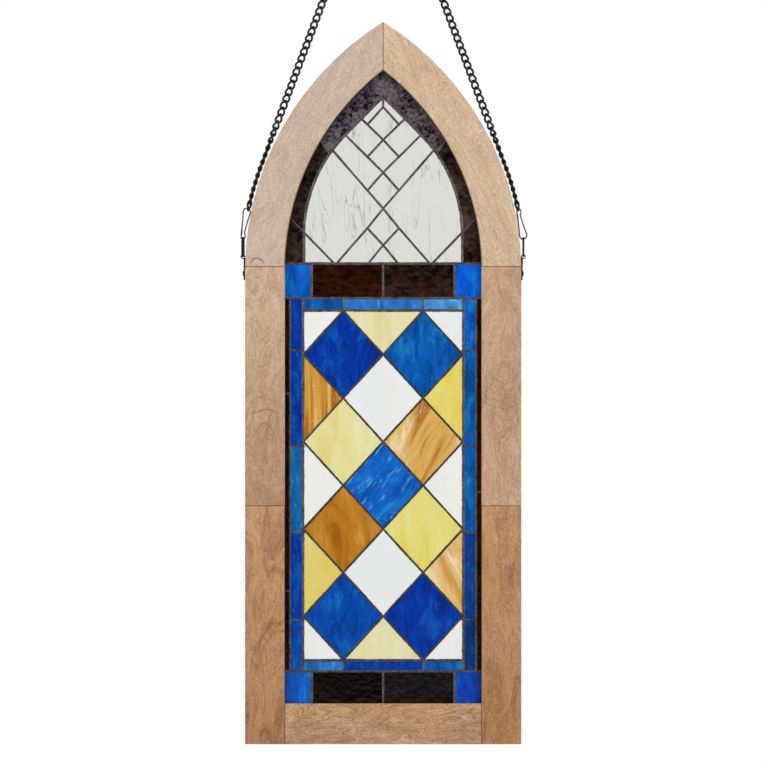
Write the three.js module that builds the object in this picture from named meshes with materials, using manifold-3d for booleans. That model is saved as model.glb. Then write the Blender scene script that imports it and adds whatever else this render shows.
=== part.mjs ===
// A hanging stained glass window: a pointed panel of coloured glass in a mango wood frame, on one
// steel chain. Millimetres, +Z up, +X to the right, the front faces -Y. The origin is the middle of
// the chain link that goes over a hook.
import * as THREE from 'three';
import { mergeVertices } from 'three/addons/utils/BufferGeometryUtils.js';
import Module from 'manifold-3d';

const wasm = await Module();
wasm.setup();

// ---------- driving dimensions (heights are above the frame's underside) ----------
const inch = 25.4;
const frameWidth = 13 * inch;
const frameHeight = 34 * inch;
const frameDepth = 20;
const memberWidth = 47.5;
const railHeight = 48.5;
const stileJoint = 285;            // where the lower stiles end
const archJoint = 571;             // where the two arch pieces stand on the upper stiles
const grooveDepth = 6;
const grooveWidth = 6;
const panelClearance = 1;          // between the panel's edge and the groove's floor, sides and arch

const halfWidth = frameWidth / 2;
const sightHalfWidth = halfWidth - memberWidth;
const archCentreX = 185;           // each arc's centre lies this far across, on the other side
const archRadius = archCentreX + halfWidth;
const springHeight = frameHeight - Math.sqrt(archRadius ** 2 - archCentreX ** 2);
const arcSteps = 14;

const glassThickness = 3;
const leadThickness = 4.6;
const glassGap = 0.05;
const fieldLead = 3.1;             // widths of the solder lines
const fieldEdgeLead = 4;           // between the diamonds and the blue border
const borderLead = 3.6;
const traceryLead = 2.8;
const ridgeOverrun = 0.6;
const edgeLead = 4;                // what runs round the panel, hidden in the groove

const fieldHalfWidth = 95.5;
const stripOuter = 111.8;          // outer edge of the blue side strips
const squareInner = 85.5;          // inner edge of the four corner squares
const footBandTop = 86.6;
const fieldBottom = 100.3;
const fieldTop = 518.2;
const headBandBottom = 533.4;
const headBandTop = 574.7;
const diamondColumns = 2;
const diamondRows = 4;

const lightHalfWidth = 95;         // the clear light in the arch: upright sides, arcs, a square point
const lightApex = 775;
const lightArcRadius = 169.4;
const lightArcFoot = 609.2;
const lightCrossings = [762.3, 723, 683.9, 640.7, 596.8]; // heights where its lines cross, down the middle
const strapEnds = [24.5, 45.4, 61]; // how far across the three straps meet the light's edge
const diamondCorner = 18.9;        // half the width of the little diamonds
const kneeHeight = 617.3;          // side corners of the lowest one
const footReaches = { outer: 56, inner: 18.2, corner: 58.5 }; // where lines meet the light's foot

const chainAngle = THREE.MathUtils.degToRad(20.6);      // each side of the chain from the upright
const chainFirstAngle = THREE.MathUtils.degToRad(12.6); // where the lowest link lies along the arch
const chainLinks = 54;                                  // on each side
const linkWire = 2.4;
const linkWidth = 10.2;
const linkBite = 0.2;                                   // neighbours overlap by this much where they bear
const chainOffset = 4.1;                                // chain's middle line from the wood

const strapWidth = 8;
const strapBottom = 555;
const strapThickness = 1.9;
const curlHeight = 583;
const curlRadius = 2.8;
const curlBore = 1.8;
const screwHeight = 563;
const screwShank = 1.5;
const screwBore = 1.75;            // in the strap and the wood
const screwDepth = 11;
const roundSides = 10;
const ringWire = 2.2;
const ringHalfWidth = 6.4;
const ringTop = 606.1;
const clipWire = 1.45;
const touch = 0.16;                // air left between rings, clips and links that bear on each other

const archCentre = new THREE.Vector2(-archCentreX, springHeight);
const chainRadius = archRadius + chainOffset;
const chainBend = new THREE.Vector2(
  archCentre.x + chainRadius * Math.cos(chainAngle),
  archCentre.y + chainRadius * Math.sin(chainAngle),
);
const sideArcLength = chainRadius * (chainAngle - chainFirstAngle);
const headAcross = 2.15;           // where the last link's head bears on the hanging link
const headDrop = -1.05;
const chainLength = sideArcLength + (chainBend.x - headAcross) / Math.sin(chainAngle);
const linkPitch = (chainLength - (linkWire - linkBite) / 2) / (chainLinks - 0.5);
const linkLength = linkPitch + 2 * linkWire - linkBite;
const hangHeight = chainBend.y + (chainBend.x - headAcross) / Math.tan(chainAngle) + headDrop;

// ---------- materials ----------
const palette = {
  woodPale: { color: 0xd2b494, roughness: 0.75 },
  woodMid: { color: 0xc09b7a, roughness: 0.75 },
  woodWarm: { color: 0xb28661, roughness: 0.75 },
  lead: { color: 0x34353a, roughness: 0.45, metalness: 0.6 },
  blue: { color: 0x0b4aa5, roughness: 0.2 },
  white: { color: 0xe9eae8, roughness: 0.2 },
  yellow: { color: 0xe4da90, roughness: 0.2 },
  amber: { color: 0xc68f41, roughness: 0.2 },
  dark: { color: 0x2a1a16, roughness: 0.25 },
  clear: { color: 0xf2f3f0, roughness: 0.05, transparent: true, opacity: 0.35 },
  nickel: { color: 0x8d8882, roughness: 0.3, metalness: 1 },
  bronze: { color: 0x3a302b, roughness: 0.45, metalness: 0.8 },
  black: { color: 0x16161a, roughness: 0.4, metalness: 0.5 },
};

const window_ = new THREE.Group();
window_.position.z = -hangHeight;

function addMesh(name, geometry, look) {
  const mesh = new THREE.Mesh(geometry, new THREE.MeshStandardMaterial(palette[look]));
  mesh.name = name;
  window_.add(mesh);
  return mesh;
}

// ---------- solids ----------
function toSolid(geometry) {
  const bare = geometry.clone();
  bare.deleteAttribute('uv');
  bare.deleteAttribute('normal');
  const merged = mergeVertices(bare, 1e-4);
  return new wasm.Manifold(new wasm.Mesh({
    numProp: 3,
    vertProperties: new Float32Array(merged.attributes.position.array),
    triVerts: new Uint32Array(merged.index.array),
  }));
}

function toGeometry(solid) {
  const { vertProperties, triVerts } = solid.getMesh();
  const geometry = new THREE.BufferGeometry();
  geometry.setAttribute('position', new THREE.BufferAttribute(new Float32Array(vertProperties), 3));
  geometry.setIndex(new THREE.BufferAttribute(new Uint32Array(triVerts), 1));
  geometry.computeVertexNormals();
  return geometry;
}

// The same solid on the other side of the middle plane.
function mirroredSolid(solid) {
  const geometry = toGeometry(solid).scale(-1, 1, 1);
  geometry.index.array.reverse();
  geometry.computeVertexNormals();
  return geometry;
}

// A closed skin over rings of points that all have the same count. Open stacks get flat ends,
// triangulated from endOutline; a stack that closes on itself needs none.
function skin(rings, endOutline) {
  const count = rings[0].length;
  const positions = rings.flat().flatMap((p) => p.toArray());
  const faces = [];
  const last = endOutline ? rings.length - 1 : rings.length;
  for (let i = 0; i < last; i++) {
    const low = i * count;
    const high = ((i + 1) % rings.length) * count;
    for (let j = 0; j < count; j++) {
      const k = (j + 1) % count;
      faces.push(low + j, low + k, high + k, low + j, high + k, high + j);
    }
  }
  if (endOutline) {
    const top = (rings.length - 1) * count;
    for (const [a, b, c] of THREE.ShapeUtils.triangulateShape(endOutline, [])) {
      faces.push(a, c, b, top + a, top + b, top + c);
    }
  }
  let volume = 0;
  const corner = (i) => new THREE.Vector3().fromArray(positions, i * 3);
  for (let i = 0; i < faces.length; i += 3) {
    volume += corner(faces[i]).dot(corner(faces[i + 1]).cross(corner(faces[i + 2])));
  }
  if (volume < 0) faces.reverse();
  const geometry = new THREE.BufferGeometry();
  geometry.setAttribute('position', new THREE.Float32BufferAttribute(positions, 3));
  geometry.setIndex(faces);
  geometry.computeVertexNormals();
  return geometry;
}

// Stacks flat outlines (points x, z) at depths along Y.
function stack(sections) {
  const rings = sections.map(([depth, outline]) => outline.map((p) => new THREE.Vector3(p.x, depth, p.y)));
  return skin(rings, sections[0][1]);
}

const slab = (outline, thickness) => stack([[-thickness / 2, outline], [thickness / 2, outline]]);

// A wire bent into a closed loop, with mitred corners. One of its edges points to the loop's inside.
function wireLoop(points, radius, sides) {
  const middle = new THREE.Vector3();
  points.forEach((p) => middle.addScaledVector(p, 1 / points.length));
  const rings = points.map((point, i) => {
    const before = points[(i + points.length - 1) % points.length];
    const after = points[(i + 1) % points.length];
    const into = new THREE.Vector3().subVectors(point, before).normalize();
    const out = new THREE.Vector3().subVectors(after, point).normalize();
    const along = new THREE.Vector3().addVectors(into, out).normalize();
    const inward = new THREE.Vector3().subVectors(middle, point);
    inward.addScaledVector(along, -inward.dot(along)).normalize();
    const across = new THREE.Vector3().crossVectors(along, inward);
    const bend = new THREE.Vector3().subVectors(out, into);
    const mitre = radius / Math.max(0.6, along.dot(out));
    const reachIn = THREE.MathUtils.lerp(radius, mitre, Math.min(1, Math.abs(bend.clone().normalize().dot(inward))));
    return Array.from({ length: sides }, (_, k) => {
      const turn = (k / sides) * 2 * Math.PI;
      return point.clone()
        .addScaledVector(inward, reachIn * Math.cos(turn))
        .addScaledVector(across, radius * Math.sin(turn));
    });
  });
  return skin(rings, null);
}

// ---------- flat outlines ----------
const at = (x, z) => new THREE.Vector2(x, z);
const mirrored = (outline) => outline.map((p) => at(-p.x, p.y)).reverse();
const rectangle = (x0, z0, x1, z1) => [at(x0, z0), at(x1, z0), at(x1, z1), at(x0, z1)];

function arcPoints(centre, radius, from, to, steps) {
  return Array.from({ length: steps + 1 }, (_, i) => {
    const angle = THREE.MathUtils.lerp(from, to, i / steps);
    return at(centre.x + radius * Math.cos(angle), centre.y + radius * Math.sin(angle));
  });
}

// Moves every edge of a counter-clockwise outline inwards, or outwards for a negative distance.
function inset(outline, distance) {
  return outline.map((point, i) => {
    const before = outline[(i + outline.length - 1) % outline.length];
    const after = outline[(i + 1) % outline.length];
    const into = point.clone().sub(before).normalize();
    const out = after.clone().sub(point).normalize();
    const normalSum = at(-into.y - out.y, into.x + out.x);
    return point.clone().addScaledVector(normalSum, distance / (1 + into.dot(out)));
  });
}

// Keeps the part of a convex outline on the left of the line from a to b.
function clip(outline, a, b) {
  const side = (p) => (b.x - a.x) * (p.y - a.y) - (b.y - a.y) * (p.x - a.x);
  const kept = [];
  outline.forEach((point, i) => {
    const next = outline[(i + 1) % outline.length];
    const here = side(point);
    const there = side(next);
    if (here >= 0) kept.push(point.clone());
    if (here * there < 0) kept.push(point.clone().lerp(next, here / (here - there)));
  });
  return kept;
}

function withoutRepeats(outline) {
  return outline.filter((p, i) => p.distanceTo(outline[(i + 1) % outline.length]) > 0.01);
}

// ---------- the panel's outline and its cells ----------
const archAngle = (radius, height) => Math.asin((height - springHeight) / radius);
const apexAngle = (radius) => Math.acos(archCentreX / radius);

// The right half of a pointed outline at an inward distance from the frame's outer edge.
function archSide(inwards, foot, steps) {
  const radius = archRadius - inwards;
  return [
    at(0, foot),
    at(halfWidth - inwards, foot),
    ...arcPoints(archCentre, radius, 0, apexAngle(radius), steps),
  ];
}

function pointedOutline(inwards, foot, steps) {
  const right = archSide(inwards, foot, steps).slice(1);
  const left = mirrored(right).slice(1);
  return [...right, ...left];
}

const grooveFloor = memberWidth - grooveDepth;
const panelInwards = grooveFloor + panelClearance;
const panelFoot = railHeight - grooveDepth;
const panelHalfWidth = halfWidth - panelInwards;
const panelRadius = archRadius - panelInwards;

// The clear light's edge at a distance x from the middle.
const lightArcCentre = at(lightHalfWidth - lightArcRadius, lightArcFoot);
function lightEdge(x) {
  const onArc = lightArcCentre.y + Math.sqrt(lightArcRadius ** 2 - (x - lightArcCentre.x) ** 2);
  return Math.min(lightApex - x, onArc);
}
const lightArcAngle = (height) => Math.asin((height - lightArcFoot) / lightArcRadius);

function lightSide(from, to, steps) {
  return arcPoints(lightArcCentre, lightArcRadius, lightArcAngle(from), lightArcAngle(to), steps);
}
const lightShoulder = lightArcFoot + lightArcRadius * Math.SQRT1_2;

const cells = [];
function addCell(name, outline, look, line = borderLead) {
  cells.push({ name, outline: withoutRepeats(outline), look, line });
}

// Square-set diamonds, cut off by the field's edges. Every other crossing of the grid is a middle.
const fieldLooks = [
  ['white', 'yellow', 'white'],
  ['blue', 'blue'],
  ['amber', 'white', 'yellow'],
  ['yellow', 'amber'],
  ['white', 'blue', 'white'],
  ['amber', 'yellow'],
  ['yellow', 'white', 'amber'],
  ['blue', 'blue'],
  ['white', 'yellow', 'white'],
];

function addField() {
  const stepX = fieldHalfWidth / diamondColumns;
  const stepZ = (fieldTop - fieldBottom) / (2 * diamondRows);
  for (let row = 0; row <= 2 * diamondRows; row++) {
    const places = row % 2 ? ['left', 'right'] : ['left', 'middle', 'right'];
    places.forEach((place, i) => {
      const x = (i * 2 - places.length + 1) * stepX;
      const z = fieldTop - row * stepZ;
      let outline = [at(x, z - stepZ), at(x + stepX, z), at(x, z + stepZ), at(x - stepX, z)];
      outline = clip(outline, at(0, fieldBottom), at(1, fieldBottom));
      outline = clip(outline, at(0, fieldTop), at(-1, fieldTop));
      outline = clip(outline, at(fieldHalfWidth, 0), at(fieldHalfWidth, 1));
      outline = clip(outline, at(-fieldHalfWidth, 0), at(-fieldHalfWidth, -1));
      const look = fieldLooks[row][i];
      addCell(`field_row${row + 1}_${place}_${look}`, outline, look, fieldLead);
    });
  }
}

function addBands() {
  const outer = panelHalfWidth - edgeLead / 2;
  const rows = [
    ['head', headBandBottom, headBandTop],
    ['foot', panelFoot + edgeLead / 2, footBandTop],
  ];
  for (const [name, low, high] of rows) {
    addCell(`${name}_square_left_blue`, rectangle(-outer, low, -squareInner, high), 'blue');
    addCell(`${name}_block_left_dark`, rectangle(-squareInner, low, 0, high), 'dark');
    addCell(`${name}_block_right_dark`, rectangle(0, low, squareInner, high), 'dark');
    addCell(`${name}_square_right_blue`, rectangle(squareInner, low, outer, high), 'blue');
  }
  addCell('edge_strip_left_dark', rectangle(-outer, footBandTop, -stripOuter, headBandBottom), 'dark');
  addCell('edge_strip_right_dark', rectangle(stripOuter, footBandTop, outer, headBandBottom), 'dark');
}

// The dark border between the clear light and the wood, in three pieces a side. Its joints carry
// two of the light's lines on, from the light's edge out to the wood.
const borderJoints = [at(60.8, 706.4), at(94.6, 612)];
const jointStarts = [at(0, lightCrossings[3]), at(footReaches.corner, headBandTop)];
function addArchBorder() {
  const radius = panelRadius - edgeLead / 2;
  const outwards = borderJoints.map((joint, i) => {
    const away = joint.clone().sub(jointStarts[i]).normalize();
    const offset = joint.clone().sub(archCentre);
    const reach = offset.dot(away);
    const travel = -reach + Math.sqrt(reach ** 2 - offset.lengthSq() + radius ** 2);
    return joint.clone().addScaledVector(away, travel);
  });
  const angles = outwards.map((p) => archAngle(radius, p.y));
  const footAngle = archAngle(radius, headBandTop);
  const pieces = {
    lower: [
      at(lightHalfWidth, headBandTop),
      ...arcPoints(archCentre, radius, footAngle, angles[1], 3),
      borderJoints[1],
    ],
    middle: [
      borderJoints[1],
      ...arcPoints(archCentre, radius, angles[1], angles[0], 6),
      ...lightSide(borderJoints[0].y, borderJoints[1].y, 5).slice(0, -1),
    ],
    upper: [
      borderJoints[0],
      ...arcPoints(archCentre, radius, angles[0], apexAngle(radius), 6),
      at(0, lightApex),
      ...lightSide(lightShoulder, borderJoints[0].y, 2).slice(0, -1),
    ],
  };
  for (const [name, outline] of Object.entries(pieces)) {
    addCell(`arch_${name}_right_dark`, outline, 'dark');
    addCell(`arch_${name}_left_dark`, mirrored(outline), 'dark');
  }
}

// ---------- solder lines that only lie on the two faces of a sheet ----------
// The clear light and the blue border are each one sheet here, with their joints drawn in solder.
function lightLines() {
  const lines = [[at(0, lightApex), at(0, lightCrossings[0])]];
  for (const sign of [-1, 1]) {
    strapEnds.forEach((reach, i) => {
      const end = at(sign * reach, lightEdge(reach));
      const crossing = at(0, lightCrossings[i + 1]);
      const tilt = (end.y - crossing.y) / reach;
      lines.push([end, crossing]);
      lines.push([at(0, lightCrossings[i]), at(sign * diamondCorner, crossing.y + diamondCorner * tilt)]);
    });
    const knee = at(sign * diamondCorner, kneeHeight);
    const foot = at(0, lightCrossings[4]);
    lines.push([at(0, lightCrossings[3]), knee]);
    lines.push([knee, at(sign * footReaches.outer, headBandTop)]);
    lines.push([knee, foot]);
    lines.push([foot, at(sign * footReaches.inner, headBandTop)]);
    lines.push([at(sign * borderJoints[1].x, borderJoints[1].y), at(sign * footReaches.corner, headBandTop)]);
  }
  return lines;
}

function stripLines() {
  const sideJoints = [148.5, 252.5, 355.7, 470.9];
  const topJoint = fieldHalfWidth / 2;
  const lines = [];
  for (const sign of [-1, 1]) {
    for (const z of sideJoints) {
      lines.push([at(sign * fieldHalfWidth, z), at(sign * stripOuter, z)]);
    }
    lines.push([at(sign * topJoint, fieldTop), at(sign * topJoint, headBandBottom)]);
    lines.push([at(sign * topJoint, footBandTop), at(sign * topJoint, fieldBottom)]);
    for (const [low, high] of [[fieldTop, headBandBottom], [footBandTop, fieldBottom]]) {
      lines.push([at(sign * fieldHalfWidth, low), at(sign * fieldHalfWidth, high)]);
    }
  }
  const outer = panelHalfWidth - edgeLead / 2;
  for (const z of [182.7, 419.3]) lines.push([at(-stripOuter, z), at(-outer, z)]);
  lines.push([at(stripOuter, 301.5), at(outer, 301.5)]);
  return lines;
}

// One ridge of solder along a line, on the front or the back. It runs on a little past its ends.
function ridge([a, b], face) {
  const along = b.clone().sub(a).setLength(ridgeOverrun);
  const across = at(-along.y, along.x).setLength(traceryLead / 2);
  const start = a.clone().sub(along);
  const end = b.clone().add(along);
  const outline = [
    start.clone().sub(across), end.clone().sub(across), end.clone().add(across), start.clone().add(across),
  ];
  return toSolid(stack([[face * glassThickness / 2, outline], [face * leadThickness / 2, outline]]));
}

// ---------- glass and solder ----------
const through = (outline) => toSolid(slab(outline, 2 * leadThickness));

function ringSheet(outer, inner) {
  return toSolid(slab(outer, glassThickness)).subtract(toSolid(slab(inner, glassThickness + 1)));
}

function addPanel() {
  addField();
  addBands();
  addArchBorder();

  const lightRight = [
    at(lightHalfWidth, headBandTop),
    ...lightSide(lightArcFoot, lightShoulder, 10),
  ];
  const light = [...lightRight, at(0, lightApex), ...mirrored(lightRight)];
  addCell('clear_light', light, 'clear');

  let lead = toSolid(slab(pointedOutline(panelInwards, panelFoot, arcSteps), leadThickness));
  for (const cell of cells) {
    const opening = inset(cell.outline, cell.line / 2);
    lead = lead.subtract(through(opening));
    addMesh(cell.name, slab(inset(opening, glassGap), glassThickness), cell.look);
  }

  const outer = rectangle(-stripOuter, footBandTop, stripOuter, headBandBottom);
  const inner = rectangle(-fieldHalfWidth, fieldBottom, fieldHalfWidth, fieldTop);
  const ringOuter = inset(outer, borderLead / 2);
  const ringInner = inset(inner, fieldLead / 2 - fieldEdgeLead);
  lead = lead.subtract(through(ringOuter).subtract(toSolid(slab(ringInner, 3 * leadThickness))));
  const blueRing = ringSheet(inset(ringOuter, glassGap), inset(ringInner, -glassGap));
  addMesh('border_ring_blue', toGeometry(blueRing), 'blue');

  for (const line of [...lightLines(), ...stripLines()]) {
    for (const face of [-1, 1]) lead = lead.add(ridge(line, face));
  }
  addMesh('solder_lattice', toGeometry(lead), 'lead');
}

// ---------- the wood frame ----------
function boredStile(outline, groove, side) {
  const pilot = new THREE.CylinderGeometry(screwBore, screwBore, 2 * (screwDepth + 1), roundSides);
  pilot.rotateZ(Math.PI / 2).translate(side * halfWidth, 0, screwHeight);
  return toSolid(slab(outline, frameDepth)).subtract(groove).subtract(toSolid(pilot));
}

function addFrame() {
  const groove = toSolid(slab(pointedOutline(grooveFloor, panelFoot, arcSteps), grooveWidth));
  const grooved = (outline) => toSolid(slab(outline, frameDepth)).subtract(groove);
  const foot = archAngle(archRadius, archJoint);
  const innerRadius = archRadius - memberWidth;
  const archRight = [
    ...arcPoints(archCentre, archRadius, foot, apexAngle(archRadius), arcSteps),
    ...arcPoints(archCentre, innerRadius, apexAngle(innerRadius), archAngle(innerRadius, archJoint), arcSteps),
  ];
  const rail = rectangle(-sightHalfWidth, 0, sightHalfWidth, railHeight);
  addMesh('frame_bottom_rail', toGeometry(grooved(rail)), 'woodWarm');
  for (const [name, sign] of [['left', -1], ['right', 1]]) {
    const turn = (outline) => (sign > 0 ? outline : mirrored(outline));
    const lower = turn(rectangle(sightHalfWidth, 0, halfWidth, stileJoint));
    const upper = turn(rectangle(sightHalfWidth, stileJoint, halfWidth, archJoint));
    addMesh(`frame_lower_stile_${name}`, toGeometry(grooved(lower)), 'woodWarm');
    addMesh(`frame_upper_stile_${name}`, toGeometry(boredStile(upper, groove, sign)), 'woodMid');
    addMesh(`frame_arch_${name}`, toGeometry(grooved(turn(archRight))), 'woodPale');
  }
}

// ---------- hangers on the frame's two sides ----------
const curlX = halfWidth + curlRadius;

// A folded strap: a flat plate on the wood, with an eye rolled into its top for the ring's bar.
function strap() {
  const outerFace = halfWidth + strapThickness;
  const meet = Math.acos((curlX - outerFace) / curlRadius);
  const eye = arcPoints(at(curlX, curlHeight), curlRadius, -Math.PI + meet, Math.PI, 11);
  const outline = [at(halfWidth, strapBottom), at(outerFace, strapBottom), ...eye];
  const bore = arcPoints(at(curlX, curlHeight), curlBore, 0, 2 * Math.PI, 10).slice(0, -1);
  const hole = new THREE.CylinderGeometry(screwBore, screwBore, 4 * strapThickness, roundSides);
  hole.rotateZ(Math.PI / 2).translate(halfWidth, 0, screwHeight);
  return toSolid(slab(outline, strapWidth))
    .subtract(toSolid(slab(bore, strapWidth + 1)))
    .subtract(toSolid(hole));
}

function screw() {
  const profile = [
    at(0, -screwDepth), at(screwShank, 3 - screwDepth), at(screwShank, strapThickness),
    at(3.4, strapThickness), at(3.2, strapThickness + 0.7), at(1.6, strapThickness + 1.3),
    at(0, strapThickness + 1.4),
  ];
  return new THREE.LatheGeometry(profile, roundSides)
    .rotateZ(-Math.PI / 2)
    .translate(halfWidth, 0, screwHeight);
}

function ring(yaw) {
  const bar = curlHeight + curlBore - ringWire / 2 - touch;
  const crown = ringTop - ringHalfWidth;
  const corner = 2.4;
  const flat = [
    at(-ringHalfWidth + corner, bar),
    at(ringHalfWidth - corner, bar),
    at(ringHalfWidth - corner * 0.3, bar + corner * 0.3),
    at(ringHalfWidth, bar + corner),
    ...arcPoints(at(0, crown), ringHalfWidth, 0, Math.PI, 8),
    at(-ringHalfWidth, bar + corner),
    at(-ringHalfWidth + corner * 0.3, bar + corner * 0.3),
  ];
  const points = flat.map((p) => new THREE.Vector3(
    curlX + p.x * Math.sin(yaw),
    p.x * Math.cos(yaw),
    p.y,
  ));
  return wireLoop(points, ringWire / 2, 6);
}

// The pear-shaped snap hook between the ring and the chain, from its wide end up. One side is the
// straight gate, and the other necks in before it flares.
function snapClip(wideEnd, narrowEnd) {
  const axis = narrowEnd.clone().sub(wideEnd);
  const length = axis.length();
  const outline = [
    at(0, 0), at(2.8, 0.8), at(4.6, 3), at(4.9, 5.6), at(3.8, 10.5), at(1.4, length - 10.5),
    at(1.1, length - 8.6), at(2.2, length - 5.5), at(2.4, length - 2.6), at(1.6, length - 0.7),
    at(0, length), at(-1.5, length - 0.7), at(-2.3, length - 2.6), at(-2.4, length - 8),
    at(-3.1, 12), at(-3.6, 6), at(-3.5, 3), at(-2.2, 0.8),
  ];
  const up = axis.normalize();
  const points = outline.map((p) => new THREE.Vector3(
    wideEnd.x + up.x * p.y + up.y * p.x,
    0,
    wideEnd.y + up.y * p.y - up.x * p.x,
  ));
  return wireLoop(points, clipWire / 2, 6);
}

// ---------- chain ----------
// A twisted link: an oval whose two ends are turned about its length, its head a quarter turn from
// its foot, so that each end crosses its neighbour squarely.
const twists = {
  free: { foot: THREE.MathUtils.degToRad(-20), head: THREE.MathUtils.degToRad(70) },
  flat: { foot: THREE.MathUtils.degToRad(45), head: THREE.MathUtils.degToRad(135) },
  lowest: { foot: THREE.MathUtils.degToRad(90), head: THREE.MathUtils.degToRad(135) },
  hooked: { foot: 0, head: THREE.MathUtils.degToRad(90) },
  hanging: { foot: THREE.MathUtils.degToRad(-20), head: THREE.MathUtils.degToRad(20) },
};
function linkPoints(middle, direction, count, { foot, head }) {
  const reach = (linkLength - linkWire) / 2;
  const spread = (linkWidth - linkWire) / 2;
  const side = at(direction.y, -direction.x);
  return Array.from({ length: count }, (_, i) => {
    const turn = ((i + 0.5) / count) * 2 * Math.PI;
    const flatEnd = Math.cos(Math.PI / count);
    const lengthwise = (Math.cos(turn) / flatEnd) * reach;
    const sideways = Math.sign(Math.sin(turn)) * Math.abs(Math.sin(turn)) ** 0.75 * spread;
    const twist = THREE.MathUtils.mapLinear(lengthwise, -reach, reach, foot, head);
    const inPlane = sideways * Math.cos(twist);
    return new THREE.Vector3(
      middle.x + direction.x * lengthwise + side.x * inPlane,
      sideways * Math.sin(twist),
      middle.y + direction.y * lengthwise + side.y * inPlane,
    );
  });
}

// The side chain's middle line: along the arch first, then straight to the hook.
function chainPoint(travel) {
  const angle = chainFirstAngle + travel / chainRadius;
  if (angle < chainAngle) {
    return at(archCentre.x + chainRadius * Math.cos(angle), archCentre.y + chainRadius * Math.sin(angle));
  }
  const rest = travel - sideArcLength;
  return at(chainBend.x - rest * Math.sin(chainAngle), chainBend.y + rest * Math.cos(chainAngle));
}

function linkPlace(i) {
  const middle = chainPoint(i * linkPitch);
  const direction = chainPoint((i + 0.5) * linkPitch).sub(chainPoint((i - 0.5) * linkPitch)).normalize();
  return { middle, direction };
}

// Links lie flat against the wood low down, turn to face the front once they are clear of it, and
// turn again to meet the hanging link.
const flatLinks = 7;
const turningLinks = 8;
function linkTwist(i) {
  if (i === 0) return twists.lowest;
  const freed = THREE.MathUtils.smoothstep(i, flatLinks, flatLinks + turningLinks);
  const hooked = THREE.MathUtils.smoothstep(i, chainLinks - 1 - turningLinks, chainLinks - 1);
  const blend = (end) => THREE.MathUtils.lerp(
    THREE.MathUtils.lerp(twists.flat[end], twists.free[end], freed), twists.hooked[end], hooked,
  );
  return { foot: blend('foot'), head: blend('head') };
}

function chainSide() {
  let chain = null;
  for (let i = 0; i < chainLinks; i++) {
    const { middle, direction } = linkPlace(i);
    const points = linkPoints(middle, direction, 6, linkTwist(i));
    const link = toSolid(wireLoop(points, linkWire / 2, 3));
    chain = chain ? chain.add(link) : link;
  }
  return chain;
}

function addHangers() {
  const first = linkPlace(0);
  const linkFoot = first.middle.clone().addScaledVector(first.direction, -(linkLength - linkWire) / 2);
  const bearing = (linkWire + clipWire) / 2 + touch;
  const clipTop = linkFoot.clone().add(at(0, bearing));
  const wideClipTop = linkFoot.clone().add(at(1.6, bearing + 0.5));
  const clipFoot = at(curlX, ringTop - (ringWire + clipWire) / 2 - touch);
  const narrowClipFoot = clipFoot.clone().add(at(0.3, -0.3));
  const ringYaw = THREE.MathUtils.degToRad(4);
  const sides = [
    ['left', ring(ringYaw), snapClip(wideClipTop, narrowClipFoot)],
    ['right', ring(0), snapClip(clipFoot, clipTop)],
  ];
  for (const [name, ringGeometry, clipGeometry] of sides) {
    const pieces = {
      hanger_strap: [strap(), 'bronze'],
      strap_screw: [toSolid(screw()), 'bronze'],
      hanger_ring: [toSolid(ringGeometry), 'bronze'],
      snap_clip: [toSolid(clipGeometry), 'nickel'],
      chain: [chainSide(), 'black'],
    };
    for (const [piece, [solid, look]] of Object.entries(pieces)) {
      const geometry = name === 'left' ? mirroredSolid(solid) : toGeometry(solid);
      addMesh(`${piece}_${name}`, geometry, look);
    }
  }
  const hanging = linkPoints(at(0, hangHeight), at(1, 0), 14, twists.hanging);
  addMesh('hanging_link', wireLoop(hanging, linkWire / 2, 8), 'black');
}

addPanel();
addFrame();
addHangers();

export default window_;
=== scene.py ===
"""Looks of the hanging stained glass window: panes, solder, wood, hangers and chain, in metres."""
from math import acos, copysign, cos, exp, pi, radians, sin, sqrt, tau

import bmesh
import bpy
import numpy as np
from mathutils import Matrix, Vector, geometry, noise


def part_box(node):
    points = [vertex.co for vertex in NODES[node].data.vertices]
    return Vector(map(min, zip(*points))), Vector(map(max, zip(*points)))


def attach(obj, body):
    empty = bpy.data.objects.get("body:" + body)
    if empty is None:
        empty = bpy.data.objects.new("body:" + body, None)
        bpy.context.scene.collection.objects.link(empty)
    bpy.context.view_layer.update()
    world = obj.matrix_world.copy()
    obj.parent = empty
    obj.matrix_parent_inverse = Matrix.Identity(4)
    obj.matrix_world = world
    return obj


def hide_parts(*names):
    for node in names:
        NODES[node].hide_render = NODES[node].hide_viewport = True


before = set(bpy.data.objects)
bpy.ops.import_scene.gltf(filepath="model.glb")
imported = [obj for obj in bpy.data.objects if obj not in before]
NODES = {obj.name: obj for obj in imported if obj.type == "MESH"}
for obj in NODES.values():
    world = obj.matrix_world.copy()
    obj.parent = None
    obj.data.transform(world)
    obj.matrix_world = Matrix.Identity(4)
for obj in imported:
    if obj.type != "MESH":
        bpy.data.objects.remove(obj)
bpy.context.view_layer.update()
MM = 0.001


def at(x, z):
    return Vector((x, z))


# ---------- sizes: the frame gives most, the rest are heights above the frame's foot ----------
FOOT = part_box("frame_bottom_rail")[0].z
HALF_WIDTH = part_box("frame_lower_stile_right")[1].x
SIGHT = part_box("frame_lower_stile_right")[0].x
GLASS_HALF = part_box("field_row2_left_blue")[1].y
LATTICE_LOW, LATTICE_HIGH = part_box("solder_lattice")
LEAD_HALF = LATTICE_HIGH.y

ARCH_ACROSS = 185 * MM
ARCH_RADIUS = HALF_WIDTH + ARCH_ACROSS
ARCH_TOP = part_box("frame_arch_left")[1].z
ARCH_CENTRE = at(-ARCH_ACROSS, ARCH_TOP - sqrt(ARCH_RADIUS ** 2 - ARCH_ACROSS ** 2))
SIGHT_RADIUS = ARCH_RADIUS - (HALF_WIDTH - SIGHT)

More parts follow.
